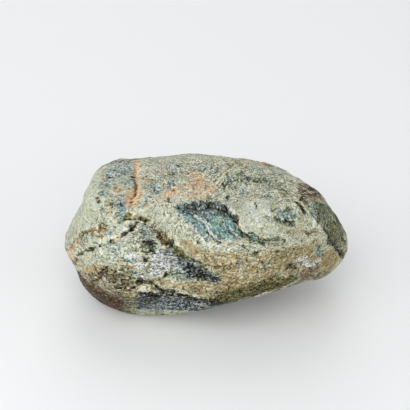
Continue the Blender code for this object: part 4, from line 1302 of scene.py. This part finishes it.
class Shader(Nodes):
    """A material whose patterns are laid along the stone's layers."""

    def __init__(self, name):
        self.material = bpy.data.materials.new(name)
        self.material.use_nodes = True
        super().__init__(self.material.node_tree)
        self.principled = self.tree.nodes["Principled BSDF"]
        self.coordinates = self.add("ShaderNodeTexCoord").outputs["Object"]
        self.place = self.add("ShaderNodeSeparateXYZ")
        self.put(self.place.inputs[0], self.coordinates)

    def attribute(self, name):
        node = self.add("ShaderNodeAttribute")
        node.attribute_name = name
        return node.outputs["Fac"]

    def off_middle(self, value, share, base):
        """A base with a share of how far a value is off 0.5."""
        return self.math("MULTIPLY_ADD", self.math("SUBTRACT", value, 0.5), share, base)

    def stretched(self, along, across):
        """Coordinates drawn out along the layers."""
        node = self.add("ShaderNodeMapping")
        self.put(node.inputs["Vector"], self.coordinates)
        node.inputs["Rotation"].default_value = (0, math.radians(-LAYER_DIP), 0)
        node.inputs["Scale"].default_value = (1 / along, 1 / along, 1 / across)
        return node.outputs[0]

    def along_layers(self, across, length, seed):
        """Coordinates whose first axis runs across the layers and whose others run along them."""
        node = self.add("ShaderNodeCombineXYZ")
        wander = self.math("MULTIPLY_ADD", self.noise(7 * MM), 1.6 * MM / across, seed)
        self.put(node.inputs[0], self.math("MULTIPLY_ADD", self.attribute("layer"), 1 / across, wander))
        for axis in (0, 1):
            self.put(node.inputs[axis + 1], self.math("MULTIPLY", self.place.outputs[axis], 1 / length))
        return node.outputs[0]

    def noise(self, size, detail=3.0, roughness=0.55, vector=None, distortion=0.0):
        node = self.add("ShaderNodeTexNoise")
        self.put(node.inputs["Vector"], vector or self.coordinates)
        node.inputs["Scale"].default_value = 1 / size
        node.inputs["Detail"].default_value = detail
        node.inputs["Roughness"].default_value = roughness
        node.inputs["Distortion"].default_value = distortion
        return node.outputs[0]

    def streaks(self, across, length, seed):
        """Streaks that run along the level lines of the layers."""
        place = self.along_layers(across, length, seed)
        return self.range(self.noise(1.0, 3.0, 0.6, place, 0.4), 0.3, 0.7, kind="LINEAR")

    def crystals(self, across, length, seed):
        """A value of its own for each crystal."""
        cells = self.add("ShaderNodeTexVoronoi")
        self.put(cells.inputs["Vector"], self.along_layers(across, length, seed))
        cells.inputs["Scale"].default_value = 1.0
        own = self.add("ShaderNodeSeparateColor")
        self.put(own.inputs[0], cells.outputs["Color"])
        return own.outputs[0]

    def tones(self, value, colours):
        """A deep, a middle and a light tone spread over a value from 0 to 1."""
        node = self.add("ShaderNodeValToRGB")
        node.color_ramp.elements.new(0.5)
        for element, place, colour in zip(node.color_ramp.elements, (0.12, 0.5, 0.88), colours):
            element.position = place
            element.color = tint(*colour)
        self.put(node.inputs[0], value)
        return node.outputs[0]

    def mix(self, share, first, second, blend="MIX"):
        node = self.add("ShaderNodeMix")
        node.data_type = "RGBA"
        node.blend_type = blend
        node.clamp_factor = True
        self.put(node.inputs[0], share)
        self.put(node.inputs[6], first)
        self.put(node.inputs[7], second)
        return node.outputs[2]

    def shade(self, share, colour, by):
        """A colour with a share of itself times another, kept under a clean white."""
        shaded = self.mix(1.0, self.mix(1.0, colour, by, "MULTIPLY"), CLEAN_WHITE, "DARKEN")
        return self.mix(share, colour, shaded)


class Grain:
    """What the rind's tones are spread over: values about 0.5 for its crystals, grains and streaks."""

    def __init__(self, s):
        self.s = s
        self.life = s.range(s.attribute("grains"), 0.0, 1.0, 0.25, 1.25, "LINEAR")
        grains = s.noise(1.0, 1.5, 0.6, s.along_layers(*GRAINS))
        self.values = {
            "thin": s.streaks(*THIN_STREAKS),
            "wide": s.streaks(*WIDE_STREAKS),
            "crystal": s.crystals(*CRYSTALS),
            "grain": s.range(grains, 0.28, 0.72, kind="LINEAR"),
            "mid": s.range(s.noise(5.0 * MM, 4.0, 0.62), 0.3, 0.7, kind="LINEAR"),
            "fine": s.noise(0.7 * MM, 3.0, 0.6),
        }

    def blend(self, **shares):
        """A blend of named values, livelier where the grains lie thickly."""
        total = 0.0
        for name, share in shares.items():
            total = self.s.off_middle(self.values[name], share, total)
        return self.s.math("MULTIPLY_ADD", total, self.life, 0.5)

    def touch(self, share, colour, by):
        """Shades a colour by a share that fades where the grains lie thinly."""
        return self.s.shade(self.s.math("MULTIPLY", share, self.life), colour, by)


def laid_finishes(s, g):
    """The ground of the rind with every finish laid on it, each breaking up at its edge."""
    spreads = {
        "speck": g.blend(crystal=0.85, grain=0.75, mid=0.3, thin=0.25),
        "fibre": g.blend(crystal=0.65, grain=0.7, mid=0.25, thin=0.5, wide=0.3),
    }
    colour = s.tones(g.blend(crystal=0.8, grain=0.75, mid=0.3, thin=0.3, wide=0.2), GROUND)
    broad = s.range(s.noise(19 * MM), 0.4, 0.6, 0.0, 0.6)
    colour = s.mix(broad, colour, s.mix(0.5, colour, COOL_GROUND))
    ragged = s.noise(1.0, 4.0, 0.72, s.along_layers(*RAGGED))
    for name, deep, middle, light, spread, bite in FINISHES:
        share = s.range(s.off_middle(ragged, bite, s.attribute(name)), 0.18, 0.72)
        colour = s.mix(share, colour, s.tones(spreads[spread], (deep, middle, light)))
    return colour


def drifted(s, g, colour):
    """Drifts of warmer and cooler colour a few grains wide, and the darkening that is part olive stain and
    part painted shade on the lower and right-hand parts.
    """
    drift = s.noise(DRIFT, 4.0, 0.65)
    colour = s.mix(s.range(drift, 0.50, 0.68), colour, s.mix(1.0, colour, WARM_DRIFT, "MULTIPLY"))
    colour = s.mix(s.range(drift, 0.50, 0.32), colour, s.mix(1.0, colour, COOL_DRIFT, "MULTIPLY"))
    # part olive stain, part painted shade on the lower and right-hand parts
    stained_and_shaded = s.off_middle(g.values["mid"], 0.5, s.attribute("stain_and_shade"))
    return s.shade(s.range(stained_and_shaded, 0.0, 1.0, kind="LINEAR"), colour, STAIN_AND_SHADE)


def streaked(s, g, colour):
    """Bundles of crystals, dark and pale streaks, and fine dark veins."""
    for across, length, seed, strength in BUNDLES:
        own = s.crystals(across, length, seed)
        colour = g.touch(s.range(own, 0.62, 0.95, 0.0, strength), colour, DIM)
        colour = g.touch(s.range(own, 0.34, 0.05, 0.0, strength), colour, BRIGHT)
    thin, wide = g.values["thin"], g.values["wide"]
    colour = g.touch(s.range(thin, 0.66, 0.95, 0.0, 0.6), colour, DIM)
    colour = g.touch(s.range(wide, 0.72, 0.95, 0.0, 0.4), colour, DIM)
    colour = g.touch(s.range(thin, 0.34, 0.05, 0.0, 0.6), colour, BRIGHT)
    for size, seed, strength in VEINS:
        place = s.add("ShaderNodeVectorMath")
        s.put(place.inputs[0], s.stretched(1.6, 1.0))
        place.inputs[1].default_value = (seed, seed, seed)
        wander = s.noise(size, 3.0, 0.6, place.outputs[0], 0.6)
        off = s.math("ABSOLUTE", s.math("SUBTRACT", wander, 0.5))
        gate = s.range(s.noise(4 * size, 2.0, 0.5, place.outputs[0]), 0.5, 0.6, 0.0, strength)
        colour = g.touch(s.math("MULTIPLY", s.range(off, 0.016, 0.004), gate), colour, DIM)
    return colour


def flecked(s, g, colour):
    """Dark and pale mineral grains."""
    fleck = s.noise(FLECK, 1.0, 0.5)
    gathered = s.range(s.noise(FLECK_GATHERING, 3.0, 0.6), 0.35, 0.65, 0.06, -0.04, "LINEAR")
    bar = s.math("ADD", s.range(s.attribute("grains"), 0.0, 1.0, 0.66, 0.53, "LINEAR"), gathered)
    colour = s.shade(s.range(fleck, bar, s.math("ADD", bar, 0.05), 0.0, 0.9), colour, DIM)
    pale_fleck = s.range(s.noise(PALE_FLECK, 1.0, 0.5, s.stretched(1.4, 1.0)), 0.57, 0.63)
    colour = g.touch(s.math("MULTIPLY", pale_fleck, 0.7), colour, BRIGHT)
    return s.mix(s.math("MULTIPLY", pale_fleck, PALE_GRAIN_SHARE), colour, PALE_GRAIN)


def hollow_shade_and_edge_wear(s, g, colour):
    """Painted shade in the hollows and pale wear on the edges."""
    hollow = s.off_middle(g.values["grain"], 0.35, s.attribute("hollow"))
    # painted shade, darker the deeper a point lies in a hollow
    colour = s.shade(s.range(hollow, 0.1, 0.85, 0.0, 0.9), colour, HOLLOW_SHADE)
    return s.shade(s.range(hollow, -0.2, -0.9, 0.0, 0.6), colour, BRIGHT)


def rind_material():
    """The weathered nephrite rind."""
    s = Shader("nephrite rind")
    g = Grain(s)
    colour = drifted(s, g, laid_finishes(s, g))
    colour = hollow_shade_and_edge_wear(s, g, flecked(s, g, streaked(s, g, colour)))
    surface = s.principled.inputs
    s.put(surface["Base Color"], colour)
    s.put(surface["Roughness"], s.range(g.values["mid"], 0.1, 0.9, 0.55, 0.8, "LINEAR"))
    surface["Specular IOR Level"].default_value = 0.1
    surface["IOR"].default_value = 1.6
    bump = s.add("ShaderNodeBump")
    bump.inputs["Strength"].default_value = BUMP_STRENGTH
    bump.inputs["Distance"].default_value = BUMP_HEIGHT
    s.put(bump.inputs["Height"], g.blend(crystal=0.4, grain=0.5, thin=0.4, fine=0.5))
    s.put(surface["Normal"], bump.outputs[0])
    return s.material


# ---------------------------------------------------------------- building the stone

# rounds of smoothing, the depth that counts as full and the share of each size of hollow; the rind's
# painted shade in the hollows follows this depth
HOLLOW_SIZES = ((2, 0.16 * MM, 0.35), (8, 0.7 * MM, 0.45), (30, 2.4 * MM, 0.35))


def keep_value(mesh, name, value):
    """Keeps one number for every point of a mesh."""
    attribute = mesh.attributes.new(name, "FLOAT", "POINT")
    attribute.data.foreach_set("value", value.astype(np.float32))


def build_stone():
    """The whole stone with its relief, its finishes as attributes, and its skin."""
    places, faces = box_rows(ROWS)
    directions = places * np.array([LENGTH, DEPTH, HEIGHT])
    directions /= np.linalg.norm(directions, axis=1, keepdims=True)
    points, outward = worn_body(directions)
    places = weathered(points, outward)
    values = finish_shares(places - np.array([0, 0, LIE_HEIGHT]), outward)
    values["layer"] = layer_field(points, outward)
    low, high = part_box("jade_boulder")
    for k in range(2):
        places[:, k] += (low[k] + high[k]) / 2 - (places[:, k].min() + places[:, k].max()) / 2

    mesh = bpy.data.meshes.new("stone")
    mesh.from_pydata(places.tolist(), [], faces.tolist())
    mesh.update()
    stone = bpy.data.objects.new("stone", mesh)
    bpy.context.collection.objects.link(stone)
    for name, value in values.items():
        keep_value(mesh, name, value)
    put_on_skin(stone, rind_material())

    # how deep each point lies in a hollow, by which the rind paints shade into it
    skinned = np.empty(len(places) * 3)
    stone.data.vertices.foreach_get("co", skinned)
    skinned = skinned.reshape(-1, 3)
    depth = np.zeros(len(places))
    for rounds, full, share in HOLLOW_SIZES:
        below = np.sum(hollows(skinned, faces, rounds) * outward, axis=1)
        depth += share * np.clip(below / full, -1, 1)
    keep_value(stone.data, "hollow", np.clip(depth, -1, 1))
    stone.data.shade_smooth()
    return stone


stone = build_stone()
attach(stone, "root")
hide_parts("jade_boulder")


# ---------------------------------------------------------------- floor, light, camera

FLOOR_SIZE = 12.0
FLOOR_TINT = tint(236, 237, 238)


def floor():
    """A plain pale floor."""
    bpy.ops.mesh.primitive_plane_add(size=FLOOR_SIZE, location=(0, 0, 0))
    sheet = bpy.context.object
    sheet.name = "floor"
    paper = bpy.data.materials.new("pale floor")
    paper.use_nodes = True
    shader = paper.node_tree.nodes["Principled BSDF"]
    shader.inputs["Base Color"].default_value = FLOOR_TINT
    shader.inputs["Roughness"].default_value = 0.9
    shader.inputs["Specular IOR Level"].default_value = 0.1
    sheet.data.materials.append(paper)


SURROUND_TINT = (0.98, 0.99, 1.0, 1.0)
SURROUND_STRENGTH = 0.325
SOFTBOX_DISTANCE = 2.2
SOFTBOX_SIZE = 1.4
SOFTBOX_AIM = Vector((0, 0, 50 * MM))
# name, azimuth and elevation in degrees, power in watts
SOFTBOXES = (
    ("high front left", 225, 50, 9.6),
    ("high front", 270, 50, 13.4),
    ("low front left", 225, 18, 7.6),
    ("low left", 180, 18, 9.4),
    ("low back left", 135, 18, 5.4),
    ("low back", 90, 18, 9.0),
    ("high back", 90, 60, 7.2),
    ("low front", 270, 24, 4.4),
    ("low right", 0, 18, 8.0),
    ("low front right", 315, 18, 8.8),
)


def softbox(name, azimuth, elevation, power):
    """A square soft light that is turned to the stone."""
    light = bpy.data.lights.new(name, "AREA")
    light.shape = "SQUARE"
    light.size = SOFTBOX_SIZE
    light.energy = power
    lamp = bpy.data.objects.new(name, light)
    bpy.context.collection.objects.link(lamp)
    lamp.location = Vector(unit(azimuth, elevation)) * SOFTBOX_DISTANCE
    lamp.rotation_euler = (SOFTBOX_AIM - lamp.location).to_track_quat("-Z", "Y").to_euler()


def surround():
    """Even light from all round."""
    world = bpy.data.worlds.new("studio")
    world.use_nodes = True
    light = world.node_tree.nodes["Background"].inputs
    light["Color"].default_value = SURROUND_TINT
    light["Strength"].default_value = SURROUND_STRENGTH
    bpy.context.scene.world = world


EYE_HEIGHT = 35.0  # degrees above the horizon
EYE_DISTANCE = 968.0 * MM
LENS = 100.0
SENSOR = 36.0
NEAREST = 50 * MM
# the point on the line of sight that is over the middle of the stone
AIM = Vector((-0.94 * MM, -0.26 * MM, LIE_HEIGHT))
AIM_RISE = 25.9 * MM


def camera():
    """A long lens in front of the show face, level, looking down on the stone."""
    e = math.radians(EYE_HEIGHT)
    out = Vector((0, -math.cos(e), math.sin(e)))
    up = Vector((0, math.sin(e), math.cos(e)))
    lens = bpy.data.cameras.new("camera")
    lens.lens = LENS
    lens.sensor_width = SENSOR
    lens.clip_start = NEAREST
    eye = bpy.data.objects.new("camera", lens)
    bpy.context.collection.objects.link(eye)
    eye.location = AIM + up * AIM_RISE + out * EYE_DISTANCE
    eye.rotation_euler = (-out).to_track_quat("-Z", "Y").to_euler()
    bpy.context.scene.camera = eye


floor()
surround()
for name, azimuth, elevation, power in SOFTBOXES:
    softbox(name, azimuth, elevation, power)
camera()
bpy.context.scene.view_settings.view_transform = "Standard"
